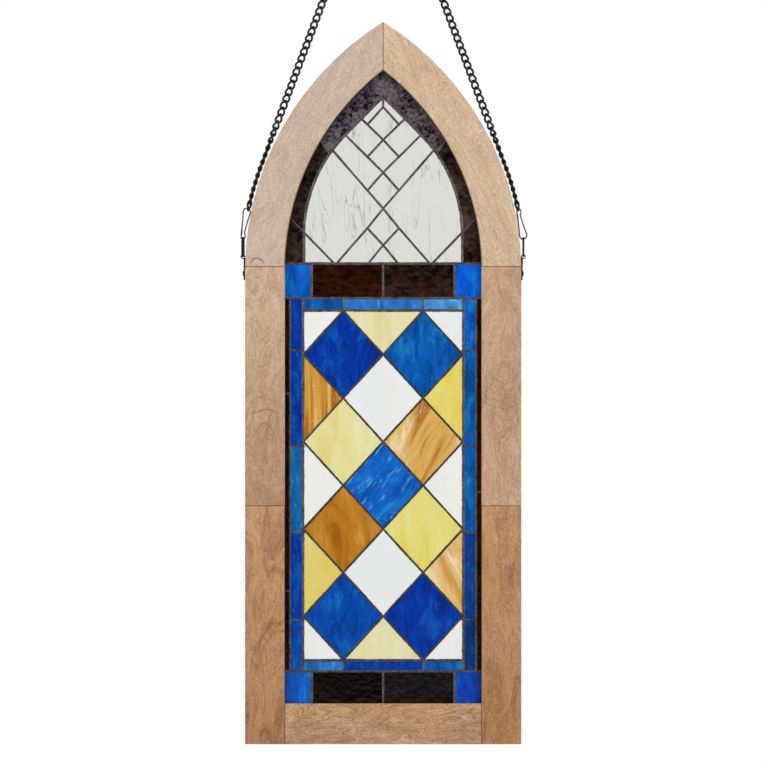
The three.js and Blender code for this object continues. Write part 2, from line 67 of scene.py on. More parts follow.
FIELD_HALF = 95.5 * MM
STRIP_OUTER = 111.8 * MM
SQUARE_INNER = 85.5 * MM
DIAMOND_COLUMNS, DIAMOND_ROWS = 4, 8   # half diamonds across and down the field

# widths of the solder lines; the last is what runs round the panel, hidden in the groove
FIELD_LEAD, FIELD_EDGE_LEAD, BORDER_LEAD, TRACERY_LEAD = 3.1 * MM, 4 * MM, 3.6 * MM, 2.8 * MM
HIDDEN_LEAD = 4 * MM
PANEL_OUTER = LATTICE_HIGH.x - HIDDEN_LEAD / 2
PANEL_BOTTOM = LATTICE_LOW.z + HIDDEN_LEAD / 2
PANEL_RADIUS = ARCH_RADIUS - (HALF_WIDTH - LATTICE_HIGH.x) - HIDDEN_LEAD / 2
TUCK = 0.5 * MM                        # how far a pane's edge stops short of the solder's middle
OPAL_STEP, FINE_STEP = 2.6 * MM, 1.25 * MM   # spacing of the points on smooth and on hammered glass


def up(height_mm):
    """A height above the frame's foot, in the row's frame."""
    return FOOT + height_mm * MM


FOOT_BAND_TOP, FIELD_BOTTOM, FIELD_TOP = up(86.6), up(100.3), up(518.2)
HEAD_BAND_BOTTOM, HEAD_BAND_TOP = up(533.4), up(574.7)
HALF_DIAMOND = (2 * FIELD_HALF / DIAMOND_COLUMNS, (518.2 - 100.3) / DIAMOND_ROWS * MM)
SIDE_JOINTS = [up(h) for h in (148.5, 252.5, 355.7, 470.9)]
EDGE_JOINTS = {-1: [up(182.7), up(419.3)], 1: [up(301.5)]}
STILE_JOINT, ARCH_JOINT = up(285), up(571)

LIGHT_HALF = 95 * MM
LIGHT_APEX = up(775)
LIGHT_RADIUS = 169.4 * MM
LIGHT_CENTRE = at(LIGHT_HALF - LIGHT_RADIUS, up(609.2))
BORDER_JOINTS = [at(60.8 * MM, up(706.4)), at(94.6 * MM, up(612))]
CROSSINGS = [up(h) for h in (762.3, 723, 683.9, 640.7, 596.8)]
MIDDLE = [at(0, z) for z in CROSSINGS]
STRAP_REACH = (24.5 * MM, 45.4 * MM, 61 * MM)   # of the straps from crossings 1 to 3
SIDE_CORNER = 18.9 * MM
KNEE = up(617.3)
OUTER_FOOT, INNER_FOOT, CORNER_FOOT = 56 * MM, 18.2 * MM, 58.5 * MM
SIDES = (("left", -1), ("right", 1))


# ---------- meshes ----------
def place_object(name, data):
    made = bpy.data.objects.new(name, data)
    bpy.context.scene.collection.objects.link(made)
    return made


def add_piece(name, mesh, material, slot, replaced, sharp):
    """Shows a mesh as one piece, smooth but for edges sharper than an angle in degrees."""
    mesh.shade_smooth()
    mesh.set_sharp_from_angle(angle=radians(sharp))
    mesh.materials.append(material)
    piece = place_object(name, mesh)
    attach(piece, "root")
    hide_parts(*replaced)


def make_object(name, verts, faces, material, slot, replaced, sharp=40):
    mesh = bpy.data.meshes.new(name)
    mesh.from_pydata(verts, [], faces)
    add_piece(name, mesh, material, slot, replaced, sharp)


class Soup:
    """Closed bodies gathered into one mesh."""

    def __init__(self):
        self.verts, self.faces = [], []

    def add(self, verts, faces):
        """Adds a closed body, with its faces turned outwards."""
        points = np.array([tuple(v) for v in verts])
        volume = sum(points[f[0]] @ np.cross(points[f[i]], points[f[i + 1]])
                     for f in faces for i in range(1, len(f) - 1))
        start = len(self.verts)
        self.verts += [tuple(v) for v in verts]
        self.faces += [tuple(start + i for i in (face if volume > 0 else face[::-1])) for face in faces]

    def rings(self, rings, closed=False):
        """Joins rings of points with the same count; open stacks get flat ends."""
        count = len(rings[0])
        faces = []
        for i in range(len(rings) if closed else len(rings) - 1):
            low, high = i * count, (i + 1) % len(rings) * count
            for j in range(count):
                after = (j + 1) % count
                faces.append((low + j, low + after, high + after, high + j))
        if not closed:
            last = (len(rings) - 1) * count
            faces += [tuple(reversed(range(count))), tuple(range(last, last + count))]
        self.add([p for ring in rings for p in ring], faces)

    def show(self, name, material, slot, replaced, sharp=40):
        make_object(name, self.verts, self.faces, material, slot, (replaced,), sharp)


def turns(count):
    """Angles of a full turn in equal steps."""
    return np.linspace(0, tau, count, endpoint=False)


# ---------- flat outlines: lists of (x, z) ----------
SHARPEST = -0.6    # cosine of the turn past which a corner isn't drawn out any further


def pairs(cuts):
    return zip(cuts, cuts[1:])


def edges(outline):
    """Each point of a closed outline with the next one."""
    return zip(outline, outline[1:] + outline[:1])


def mirrored(points, sign):
    return [at(sign * p.x, p.y) for p in points]


def inset(outline, distance):
    """Moves the edges of a counter-clockwise outline inwards, or outwards if negative."""
    result = []
    for i, point in enumerate(outline):
        into = (point - outline[i - 1]).normalized()
        out = (outline[(i + 1) % len(outline)] - point).normalized()
        normal_sum = at(-into.y - out.y, into.x + out.x)
        result.append(point + normal_sum * (distance / (1 + max(into.dot(out), SHARPEST))))
    return result


def clip(outline, a, b):
    """Keeps what lies on the left of the line from a to b."""
    def side(p):
        return (b.x - a.x) * (p.y - a.y) - (b.y - a.y) * (p.x - a.x)

    kept = []
    for point, after in edges(outline):
        here, there = side(point), side(after)
        if here >= 0:
            kept.append(point)
        if here * there < 0:
            kept.append(point.lerp(after, here / (here - there)))
    return kept


def upright_cell(x0, z0, x1, z1):
    """A rectangular pane between the middles of four solder lines."""
    x0, x1 = sorted((x0, x1))
    return inset([Vector(p) for p in ((x0, z0), (x1, z0), (x1, z1), (x0, z1))], TUCK)


def arc(centre, radius, start, end, steps):
    angles = np.linspace(start, end, steps + 1)
    return [at(centre.x + radius * cos(a), centre.y + radius * sin(a)) for a in angles]


def leaves_circle(point, away, centre, radius):
    """Where a line from a point inside a circle leaves it."""
    offset = point - centre
    reach = offset.dot(away)
    return point + away * (-reach + sqrt(reach ** 2 - offset.length_squared + radius ** 2))


def area(outline):
    return sum(a.x * b.y - b.x * a.y for a, b in edges(outline)) / 2


def node_outline(name):
    """The front outline of a flat CAD node, counter-clockwise as seen with +X right and +Z up."""
    mesh = NODES[name].data
    front = min(v.co.y for v in mesh.vertices)
    count = {}
    for polygon in mesh.polygons:
        points = [mesh.vertices[i].co for i in polygon.vertices]
        if all(p.y < front + 1e-6 for p in points):
            for pair in edges([(round(p.x, 6), round(p.z, 6)) for p in points]):
                edge = tuple(sorted(pair))
                count[edge] = count.get(edge, 0) + 1
    near = {}
    for (a, b), uses in count.items():
        if uses == 1:
            near.setdefault(a, []).append(b)
            near.setdefault(b, []).append(a)
    start = min(near)
    path, before = [start], None
    while True:
        ahead = [p for p in near[path[-1]] if p != before]
        before = path[-1]
        if ahead[0] == start and len(path) > 2:
            break
        path.append(ahead[0])
    outline = [Vector(p) for p in path]
    return outline if area(outline) > 0 else outline[::-1]


def densify(outline, spacing):
    points = []
    for a, b in edges(outline):
        steps = max(1, round((b - a).length / spacing))
        points += [a.lerp(b, i / steps) for i in range(steps)]
    return points


def inside(points, outline):
    """Which points lie in the outline, by counting the edges beside each."""
    result = np.zeros(len(points), bool)
    for a, b in edges(outline):
        if a.y == b.y:
            continue
        crosses = (a.y > points[:, 1]) != (b.y > points[:, 1])
        at = a.x + (points[:, 1] - a.y) * (b.x - a.x) / (b.y - a.y)
        result ^= crosses & (points[:, 0] < at)
    return result


# ---------- glass ----------
ROW_SPACING = 0.87     # between a pane's rows of points, as a share of the spacing in a row
RIM_MARGIN = 0.55      # between a pane's edge and its inner points, as a share of the same


def pane(name, outline, spacing, relief, material, slot, replaced):
    """A flat piece of glass whose two faces follow relief(x, z), with edges tucked under the solder."""
    rim = densify(outline, spacing)
    xs = np.array([p.x for p in rim])
    zs = np.array([p.y for p in rim])
    columns = np.arange(xs.min(), xs.max(), spacing)
    rows = np.arange(zs.min(), zs.max(), spacing * ROW_SPACING)
    grid = np.array([(x + spacing / 2 * (i % 2), z) for i, z in enumerate(rows) for x in columns])
    grid = grid[inside(grid, inset(outline, spacing * RIM_MARGIN))]
    points = rim + [Vector(p) for p in grid]
    flat, _, faces, origins, _, _ = geometry.delaunay_2d_cdt(points, [], [list(range(len(rim)))], 1, 1e-9)
    place = {o: i for i, found in enumerate(origins) for o in found}
    edge = [place[i] for i in range(len(rim))]
    heights = [relief(p.x, p.y) for p in flat]
    front = [(p.x, -GLASS_HALF - h[0], p.y) for p, h in zip(flat, heights)]
    back = [(p.x, GLASS_HALF + h[1], p.y) for p, h in zip(flat, heights)]
    n = len(flat)
    skin = [tuple(f) for f in faces] + [tuple(n + i for i in reversed(f)) for f in faces]
    skin += [(a, n + a, n + b, b) for a, b in edges(edge)]
    make_object(name, front + back, skin, material, slot, (replaced,))


def wave(x, z, across, along, seed):
    """Smooth noise between -1 and 1, with so many waves a metre each way."""
    return noise.noise(Vector((x * across, z * along, seed)))


def rolled(seed):
    """Opal sheet: slow waves, a little different on each face."""
    def relief(x, z):
        front = wave(x, z, 45, 30, seed) * 0.10 + wave(x, z, 160, 90, seed) * 0.03
        back = wave(x, z, 50, 34, seed + 40) * 0.10
        return front * MM, back * MM
    return relief


def hammered(seed):
    """Small hollows with soft ridges between them."""
    cells, depth = 190, 0.26

    def relief(x, z):
        near = noise.voronoi(Vector((x * cells, z * cells, seed)))[0]
        front = (near[0] - 0.35) * depth + wave(x, z, 70, 70, seed) * 0.12
        back = wave(x, z, 110, 110, seed + 9) * 0.15
        return front * MM, back * MM
    return relief


def drawn(seed, angle):
    """Clear sheet with thin drawn ripples along one direction and long slow waves."""
    c, s = cos(angle), sin(angle)

    def relief(x, z):
        u, v = x * c + z * s, z * c - x * s
        bend = wave(u, v, 22, 14, seed) * 0.016
        line = 1 - abs(wave(u + bend, v, 75, 13, seed + 3)) * 9
        fine = 1 - abs(wave(u - bend, v, 150, 30, seed + 7)) * 10
        slow = wave(u, v, 35, 12, seed + 5) * 0.12
        front = max(line, 0) ** 2 * 0.07 + max(fine, 0) ** 2 * 0.03 + slow
        back = wave(u, v, 30, 16, seed + 11) * 0.10
        return front * MM, back * MM
    return relief


# ---------- shaders ----------
def srgb(red, green, blue):
    """A linear colour from 0-255 screen values."""
    return tuple(((c / 255 + 0.055) / 1.055) ** 2.4 if c > 10 else c / 255 / 12.92
                 for c in (red, green, blue)) + (1,)


def toned(colour, share, lift=0.0):
    """A linear colour at a share of its brightness, with a little white added."""
    return tuple(min(1, c * share + lift) for c in colour[:3]) + (1,)


def join(socket, value):
    """Links a socket to another one, or sets it to a plain value."""
    if isinstance(value, bpy.types.NodeSocket):
        socket.id_data.links.new(value, socket)
    else:
        socket.default_value = value


def add_node(tree, kind, *values, **settings):
    """Settings are sockets or properties by name; values fill the sockets in order."""
    made = tree.nodes.new("ShaderNode" + kind)
    for key, value in settings.items():
        if key in made.inputs:
            join(made.inputs[key], value)
        else:
            setattr(made, key, value)
    for socket, value in zip(made.inputs, values):
        join(socket, value)
    return made


class Shader:
    """A material with one Principled shader and short ways to add nodes."""

    def __init__(self, name, **sockets):
        self.material = bpy.data.materials.new(name)
        self.material.use_nodes = True
        self.surface = self.material.node_tree.nodes["Principled BSDF"]
        for socket, value in sockets.items():
            self.surface.inputs[socket.replace("_", " ")].default_value = value
        self.place = self.node("TexCoord").outputs["Object"]

    def node(self, kind, *values, **settings):
        return add_node(self.material.node_tree, kind, *values, **settings)

    def drive(self, socket, value):
        join(self.surface.inputs[socket], value)

    def mapped(self, scale, rotation=(0, 0, 0), location=(0, 0, 0), source=None):
        """Stretches after turning, so a grain keeps its direction."""
        turned = self.node("Mapping", Vector=source or self.place, Rotation=rotation, Location=location)
        return self.node("Mapping", Vector=turned.outputs["Vector"], Scale=scale).outputs["Vector"]

    def noise(self, vector, scale, detail=3, roughness=0.55, distortion=0):
        made = self.node("TexNoise", Vector=vector, Scale=scale, Detail=detail, Roughness=roughness,
                         Distortion=distortion)
        return made.outputs["Fac"]

    def ramp(self, value, *stops, smooth=False):
        """stops are (position, colour or grey)."""
        made = self.node("ValToRGB", value)
        elements = made.color_ramp.elements
        while len(elements) < len(stops):
            elements.new(0.5)
        for element, (position, colour) in zip(elements, stops):
            element.position = position
            element.color = colour if isinstance(colour, tuple) else (colour, colour, colour, 1)
        if smooth:
            made.color_ramp.interpolation = "EASE"
        return made.outputs["Color"]

    def mix(self, factor, a, b, blend="MIX"):
        made = self.node("Mix", data_type="RGBA", blend_type=blend, Factor=factor)
        join(made.inputs[6], a)
        join(made.inputs[7], b)
        return made.outputs[2]

    def math(self, operation, *values):
        return self.node("Math", *values, operation=operation).outputs[0]

    def span(self, value, low, high, start=0.0, end=1.0):
        """Carries a value from the range low to high over to start to end."""
        return self.node("MapRange", value, low, high, start, end).outputs[0]

    def axis(self, source, letter):
        return self.node("SeparateXYZ", Vector=source).outputs[letter]

    def distance(self, source, centre):
        """Distance from a point (x, z), where source has no depth."""
        made = self.node("VectorMath", source, (centre.x, 0, centre.y), operation="DISTANCE")
        return made.outputs["Value"]

    def gap(self, value, edge):
        return self.math("ABSOLUTE", self.math("SUBTRACT", value, edge))

    def growth_lines(self, centre, spacing, near, far, strength, thin, squash=1.0, side=1):
        """Thin lines bent round a centre, above or below it (side), between two distances from it."""
        wobble = self.node("TexNoise", Vector=self.place, Scale=26, Detail=2).outputs["Color"]
        bent = self.mapped((squash, 0, 1), source=self.mix(0.012, self.place, wobble, "LINEAR_LIGHT"))
        away = self.distance(bent, at(centre.x * squash, centre.y))
        start = near / far
        bounds = self.ramp(self.math("MULTIPLY", away, 1 / far),
                           (start * 0.9, 0.0), (start, 1.0), (0.85, 1.0), (1.0, 0.0))
        wave = self.math("SINE", self.math("MULTIPLY", away, tau / spacing))
        lines = self.ramp(wave, (thin, 0.0), (1.0, strength))
        part = self.span(self.axis(self.place, "Z"), centre.y, centre.y + side * near)
        return self.mix(1.0, self.mix(1.0, lines, bounds, "MULTIPLY"), part, "MULTIPLY")

    def bump(self, height, strength, distance):
        made = self.node("Bump", Height=height, Strength=strength, Distance=distance)
        self.drive("Normal", made.outputs["Normal"])


def opal(name, seed, colours, streak=0.28, turn=0.0, wisp=None, wisp_share=0.5, scale=60, rough=0.6):
    """Streaky opalescent glass: two or three body colours drawn out along the sheet, with wisps."""
    s = Shader(name, Roughness=0.12, IOR=1.5, Specular_IOR_Level=0.42)
    flow = s.mapped((1, 1, streak), rotation=(0, turn, 0), location=(seed * 0.37, 0, seed * 0.53))
    body = s.noise(flow, scale, detail=6, roughness=rough, distortion=0.6)
    stops = [(0.36 + 0.3 * i / (len(colours) - 1), c) for i, c in enumerate(colours)]
    colour = s.ramp(body, *stops, smooth=True)
    if wisp:
        threads = s.noise(s.mapped((1, 1, 0.2), rotation=(0, turn + 0.12, 0), location=(seed, 0, seed)),
                          scale * 1.9, detail=6, roughness=0.62, distortion=1.1)
        mask = s.ramp(threads, (0.5 + 0.14 * (1 - wisp_share), 0.0), (0.74, 0.85), smooth=True)
        colour = s.mix(mask, colour, wisp)
    s.drive("Base Color", colour)
    return s.material


BLUES = {
    "dark": (8, 54, 120), "navy": (8, 64, 142), "deep": (4, 57, 160), "royal": (4, 63, 172),
    "cobalt": (6, 76, 170), "azure": (10, 94, 194), "vivid": (8, 92, 212), "teal": (10, 90, 172),
    "sea": (20, 108, 174), "bright": (16, 98, 194), "sky": (44, 118, 198), "pale": (72, 142, 206),
}


def blue_glass(name, seed, tone, wisps=0.3, turn=0.0):
    """Deep blue that turns to cyan in streaks and clouds."""
    red, green, blue = BLUES[tone]
    body = [toned(srgb(red, green, blue), 0.55), srgb(red, green - 4, blue),
            srgb(red + 8, green * 1.2 + 16, blue + 10)]
    wisp = srgb(red + 24 + 90 * wisps, green + 56 + 48 * wisps, blue + 26 + 14 * wisps)
    return opal(name, seed, body, streak=0.36, turn=turn, wisp=wisp, wisp_share=wisps, scale=72, rough=0.68)


def white_glass(name, seed):
    return opal(name, seed, [srgb(230, 232, 231), srgb(236, 236, 233)], scale=12)


def yellow_glass(name, seed, colour):
    """A yellow with a richer and a paler shade of it."""
    red, green, blue = colour
    body = [srgb(red - 4, green - 9, blue - 26), srgb(*colour), srgb(red + 3, green + 6, blue + 22)]
    return opal(name, seed, body, streak=0.3, scale=36)


def amber_glass(name, seed, colours, wisp, turn=0.1, streak=0.28, share=0.5, scale=42):
    return opal(name, seed, [srgb(*c) for c in colours], streak=streak, turn=turn, wisp=srgb(*wisp),
                wisp_share=share, scale=scale)


def dark_glass(name, seed, low, high, streak=(1, 1, 1.2), scale=60):
    """Nearly black hammered glass that lightens in patches and in fine mottling: partly the glass's own tone,
    partly painted reflection of the lights on the hammered face.
    """
    s = Shader(name, Roughness=0.12, IOR=1.5, Specular_IOR_Level=0.25)
    patches = s.noise(s.mapped(streak, location=(seed, 0, seed * 0.7)), scale * 0.35)
    mottle = s.noise(s.mapped(streak, location=(seed * 0.3, 0, seed)), scale * 2.6, detail=4, roughness=0.6,
                     distortion=0.3)
    # the lightest colour is partly painted reflection of the lights on the hammered face, most of all on the
    # upper arch panes
    s.drive("Base Color", s.ramp(s.mix(0.6, patches, mottle), (0.41, srgb(*low)), (0.64, srgb(*high))))
    s.bump(mottle, 0.5, 0.5 * MM)
    return s.material


def clear_glass(name):
    """Clear sheet, see-through, with thin drawn lines in it, each with a painted highlight on one side."""
    s = Shader(name, Roughness=0.0, IOR=1.5, Transmission_Weight=1.0)
    body, line, glint = (0.962, 0.967, 0.946, 1), (0.3, 0.305, 0.29, 1), (1, 1, 1, 1)
    flow = s.noise(s.mapped((1, 1, 0.13), rotation=(0, 0.06, 0)), 54, distortion=0.22)
    thin = s.ramp(flow, (0.480, 0.0), (0.490, 1.0), (0.500, 0.0))
    # a white band beside each drawn line: painted highlight
    highlight_beside = s.ramp(flow, (0.500, 0.0), (0.515, 1.0), (0.530, 0.0))
    broken = s.noise(s.mapped((1, 1, 0.5), location=(3, 0, 5)), 30)
    broken = s.ramp(broken, (0.44, 0.0), (0.56, 1.0))
    colour = body
    for mask, tone in ((highlight_beside, glint), (thin, line)):
        colour = s.mix(s.mix(1.0, mask, broken, "MULTIPLY"), colour, tone)
    s.drive("Base Color", colour)
    return s.material


def solder_metal(name, colour, glint_share, rough=0.5):
    """Patinated solder with small bright specks of painted glint."""
    s = Shader(name, Metallic=0.85)
    spots = s.noise(s.place, 900, detail=4)
    patina = s.noise(s.mapped((1, 1, 1), location=(2, 1, 3)), 120)
    body = s.mix(s.ramp(patina, (0.38, 0.0), (0.66, 1.0)), toned(colour, 0.45), colour)
    # near-white specks: painted glints
    s.drive("Base Color", s.mix(s.ramp(spots, (0.54, 0.0), (0.66, glint_share)), body, srgb(206, 202, 198)))
    s.drive("Roughness", s.ramp(spots, (0.35, rough - 0.14), (0.65, rough + 0.16)))
    s.bump(spots, 0.35, 0.3 * MM)
    return s.material


def coated_metal(name, colour, rough, metallic, wear=0.012):
    """Smooth wire or plate with a lighter, worn mottling."""
    s = Shader(name, Metallic=metallic)
    spots = s.noise(s.place, 700)
    s.drive("Base Color", s.mix(s.ramp(spots, (0.5, 0.0), (0.75, 1.0)), colour, toned(colour, 1.7, wear)))
    s.drive("Roughness", s.ramp(spots, (0.3, rough - 0.08), (0.7, rough + 0.1)))
    s.bump(spots, 0.12, 0.1 * MM)
    return s.material


SEAM_WIDTH, SHADE_RIM_WIDTH = 0.9 * MM, 1.6 * MM   # of the dark lines at joints, and of the painted shade at the edge towards the glass


def wood(name, seed, tones, lean, seams, blotch=0.4, fibres=0.5, gold=0.0, rings=None, fade=None, rim=None):
    """Mango wood: light, middle and dark tones, with the grain leaning off the upright."""
    light, middle, dark = (srgb(*tone) for tone in tones)
    s = Shader(name, IOR=1.45, Specular_IOR_Level=0.25)
    shift = (seed * 0.61, seed * 0.3, seed * 0.43)
    turn = (0, -radians(lean), 0)
    wander = s.node("TexNoise", Vector=s.mapped((7, 7, 2.2), turn, shift), Scale=3.0, Detail=2)
    bent = s.mix(0.05, s.place, wander.outputs["Color"], "LINEAR_LIGHT")

    def grain(scale, source=bent, offset=0, **settings):
        """Noise that follows the lean, with so many waves a metre in each direction."""
        return s.noise(s.mapped(scale, turn, tuple(offset + v for v in shift), source), 1.0, **settings)

    def lay(mask, start, end, share, tint):
        """Lays a tone over the colour where the mask is high."""
        return s.mix(s.ramp(mask, (start, 0.0), (end, share)), colour, tint)

    # growth bands along the grain, then clouds across it, pale streaks and golden patches
    colour = light
    colour = lay(grain((130, 130, 8), detail=6, roughness=0.7), 0.4, 0.6, 0.6, middle)
    colour = lay(grain((34, 34, 16), detail=6, roughness=0.68, distortion=0.8), 0.45, 0.66, blotch, dark)
    colour = lay(grain((60, 60, 11), offset=2), 0.52, 0.72, 0.7, light)
    if gold:
        warm = grain((24, 24, 7), source=None, offset=5, detail=2)
        colour = lay(warm, 0.46, 0.62, gold, srgb(206, 158, 92))
    # fine fibres, and short pores that are dark or pale
    fibre = grain((600, 600, 34), detail=4, roughness=0.75)
    colour = lay(fibre, 0.4, 0.64, fibres, dark)
    pores = grain((900, 900, 300), source=None, detail=2, roughness=0.6)
    colour = lay(pores, 0.5, 0.74, 0.5, toned(dark, 0.6))
    colour = s.mix(s.ramp(pores, (0.28, 0.4), (0.48, 0.0)), colour, light)
    if rings:
        colour = s.mix(s.growth_lines(**rings), colour, toned(dark, 0.7))
    if fade:
        top, foot, share = fade
        fall = s.span(s.axis(bent, "Z"), top, foot, 0.0, share)
        colour = s.mix(fall, colour, (0.72, 0.54, 0.36, 1), "MULTIPLY")
    # dark lines at the joints with the next piece, and painted shade at the edge towards the glass
    lines = [(s.gap(s.axis(s.place, letter), value), SEAM_WIDTH) for letter, value in seams]
    # rim: painted shade along the arch's edge towards the glass
    if rim:
        lines.append((s.gap(s.distance(s.mapped((1, 0, 1)), rim), SIGHT_RADIUS), SHADE_RIM_WIDTH))
    for away, width in lines:
        colour = s.mix(s.span(away, 0.0, width, 0.85, 0.0), colour, srgb(88, 50, 32))
    s.drive("Base Color", colour)
    s.drive("Roughness", s.ramp(fibre, (0.3, 0.5), (0.7, 0.7)))
    s.bump(s.mix(0.5, fibre, s.ramp(pores, (0.55, 1.0), (0.68, 0.0))), 0.3, 0.15 * MM)
    return s.material


# ---------- metal forms ----------
END_TAPER = (0.55, 0.88)   # widths of a solder line's last two rings, as shares of the line's


def smooth_loop(points, steps):
    """A closed Catmull-Rom curve through the points."""
    count = len(points)
    result = []
    for i in range(count):
        p0, p1, p2, p3 = (points[(i + k - 1) % count] for k in range(4))
        for j in range(steps):
            t = j / steps
            result.append(0.5 * (2 * p1 + (p2 - p0) * t + (2 * p0 - 5 * p1 + 4 * p2 - p3) * t * t
                                 + (3 * p1 - p0 - 3 * p2 + p3) * t ** 3))
    return result


def wire_loop(soup, points, radius, sides):
    """Sweeps a round wire along a closed path; radius may be a function of the point's index."""
    middle = sum(points, Vector((0, 0, 0))) / len(points)
    rings = []
    for i, point in enumerate(points):
        along = (points[(i + 1) % len(points)] - points[i - 1]).normalized()
        inward = middle - point
        inward = (inward - along * inward.dot(along)).normalized()
        across = along.cross(inward)
        r = radius(i) if callable(radius) else radius
        rings.append([point + inward * r * cos(t) + across * r * sin(t) for t in turns(sides)])
    soup.rings(rings, closed=True)


def uneven(point, waves, seed):
    """Smooth noise between -1 and 1 over the panel, with so many waves a metre."""
    return noise.noise(Vector((point.x * waves, seed, point.y * waves)))


def solder_rod(soup, path, width, seed, lumps=0.16, step=1.25 * MM, sides=12):
    """A bead of solder along a flat path: oval, a little uneven, with rounded ends."""
    points = []
    for a, b in pairs(path):
        count = max(1, round((b - a).length / step))
        points += [a.lerp(b, i / count) for i in range(count)]
    points.append(path[-1])
    rings = []
    for i, point in enumerate(points):
        along = (points[min(i + 1, len(points) - 1)] - points[max(i - 1, 0)]).normalized()
        across = at(-along.y, along.x)
        from_end = min(i, len(points) - 1 - i)
        taper = END_TAPER[from_end] if from_end < len(END_TAPER) else 1.0
        wander = uneven(point, 90, seed) * 0.14 * MM
        swell = 1 + 0.22 * uneven(point, 32, seed + 7)
        ring = []
        for t in turns(sides):
            c, s = cos(t), sin(t)
            place = Vector((point.x * 330 + across.x * c * 0.6, s * 1.5 + seed,
                            point.y * 330 + across.y * c * 0.6))
            lump = 1 + lumps * noise.noise(place) * 1.6 + lumps * 0.5 * noise.noise(place * 2.7)
            reach = copysign(abs(c) ** 0.55, c) * width / 2 * swell * taper * (0.45 + 0.55 * lump)
            flat = point + across * (wander + reach)
            ring.append((flat.x, s * LEAD_HALF * 0.96 * (0.75 + 0.25 * taper) * lump, flat.y))
        rings.append(ring)
    soup.rings(rings)


def solder_blob(soup, centre, radius, seed):
    """A flattened drop of solder over a joint, on both faces."""
    sides, levels = 14, 9
    rings = []
    for k in range(1, levels):
        tilt = pi * k / levels
        ring = []
        for t in turns(sides):
            c, s = cos(t), sin(t)
            place = Vector((centre.x * 50 + c, seed + k * 0.2, centre.y * 50 + s))
            reach = radius * sin(tilt) * (1 + 0.22 * noise.noise(place))
            ring.append((centre.x + c * reach, -cos(tilt) * LEAD_HALF * 1.06, centre.y + s * reach))
        rings.append(ring)
    soup.rings(rings)


# ---------- the panel: the last word of a pane's name is its kind of glass ----------
GLASSES = {"white": white_glass, "yellow": yellow_glass, "amber": amber_glass, "blue": blue_glass,
           "dark": dark_glass}
CREAM = (226, 219, 171)
# yellow: colour; blue: tone, wisps, turn; amber: colours, wisp colour, turn, streak, wisps, scale
DIAMONDS = {
    "row1_left_white": (), "row1_middle_yellow": (CREAM,), "row1_right_white": (),
    "row2_left_blue": ("deep", 0.1), "row2_right_blue": ("teal", 0.1),
    "row3_left_amber": (((156, 90, 22), (204, 150, 62), (226, 190, 118)), (236, 212, 164),
                        0.03, 0.05, 0.5, 120),
    "row3_middle_white": (), "row3_right_yellow": ((227, 209, 109),),
    "row4_left_yellow": ((227, 220, 155),),
    "row4_right_amber": (((176, 110, 34), (216, 172, 92), (232, 206, 152)), (242, 230, 204), -0.5),
    "row5_left_white": (), "row5_middle_blue": ("bright", 0.75, -0.7), "row5_right_white": (),
    "row6_left_amber": (((160, 92, 14), (186, 122, 34), (202, 150, 66)), (214, 170, 98), 0.15, 0.3, 0.3),
    "row6_right_yellow": ((227, 215, 121),),
    "row7_left_yellow": ((223, 204, 111),), "row7_middle_white": (),
    "row7_right_amber": (((204, 152, 76), (222, 186, 118), (234, 210, 160)), (242, 230, 208), 0.4),
    "row8_left_blue": ("cobalt", 0.15), "row8_right_blue": ("deep", 0.15),
    "row9_left_white": (), "row9_middle_yellow": (CREAM,), "row9_right_white": (),
}
# blue: tone, wisps; dark: darkest and lightest colour, stretch, scale
BANDS = {
    "head_square_left_blue": ("azure", 0.2), "head_square_right_blue": ("vivid", 0.3),
    "foot_square_left_blue": ("azure", 0.3), "foot_square_right_blue": ("royal", 0.2),
    "head_block_left_dark": ((11, 4, 1), (62, 27, 8), (0.6, 1, 1.3)),
    "head_block_right_dark": ((11, 8, 8), (66, 41, 32), (0.7, 1, 1.2)),
    "foot_block_left_dark": ((2, 1, 1), (22, 10, 5), (0.6, 1, 1.3)),
    "foot_block_right_dark": ((5, 4, 4), (32, 27, 28)),
    "arch_lower_left_dark": ((14, 9, 7), (72, 56, 50)),
    "arch_lower_right_dark": ((14, 9, 7), (72, 50, 42)),
    "arch_middle_left_dark": ((15, 10, 9), (68, 54, 50)),
    "arch_middle_right_dark": ((16, 10, 9), (84, 64, 58)),
    # the upper arch panes' lightest colours are painted reflections of the lights on their hammered faces
    "arch_upper_left_dark": ((16, 12, 13), (124, 116, 126), (1, 1, 1.2), 95),
    "arch_upper_right_dark": ((14, 10, 11), (122, 109, 114), (1, 1, 1.2), 95),
}


def node_pane(prefix, name, options, seed, lead):
    """A pane with the outline of its CAD node, reaching under solder of the width lead."""
    node, kind = prefix + name, name.split("_")[-1]
    spacing, relief = (FINE_STEP, hammered) if kind == "dark" else (OPAL_STEP, rolled)
    outline = inset(node_outline(node), -(lead / 2 - TUCK))
    pane(f"pane_{name}", outline, spacing, relief(seed), GLASSES[kind](f"{node}_glass", seed, *options),
         f"glass_{kind}", node)


def add_panes():
    for i, (name, options) in enumerate(DIAMONDS.items()):
        node_pane("field_", name, options, i * 3.7 + 1, FIELD_LEAD)
    for i, (name, options) in enumerate(BANDS.items()):
        node_pane("", name, options, i * 5.3 + 90, BORDER_LEAD)


def add_edge_strips():
    for side, sign in SIDES:
        node = f"edge_strip_{side}_dark"
        material = dark_glass(f"{node}_glass", 7.7 * sign, (8, 4, 3), (60, 27, 12), (1, 1, 0.5))
        for i, (low, high) in enumerate(pairs([FOOT_BAND_TOP] + EDGE_JOINTS[sign] + [HEAD_BAND_BOTTOM])):
            cell = upright_cell(sign * STRIP_OUTER, low, sign * PANEL_OUTER, high)
            relief = hammered(50 + i + sign)
            pane(f"pane_{node}_{i + 1}", cell, FINE_STEP, relief, material, "glass_dark", node)


def blue_strip(name, cell, seed, tone):
    pane(f"pane_strip_{name}", cell, OPAL_STEP, rolled(seed), blue_glass(f"strip_{name}_glass", seed, tone),
         "glass_blue", "border_ring_blue")


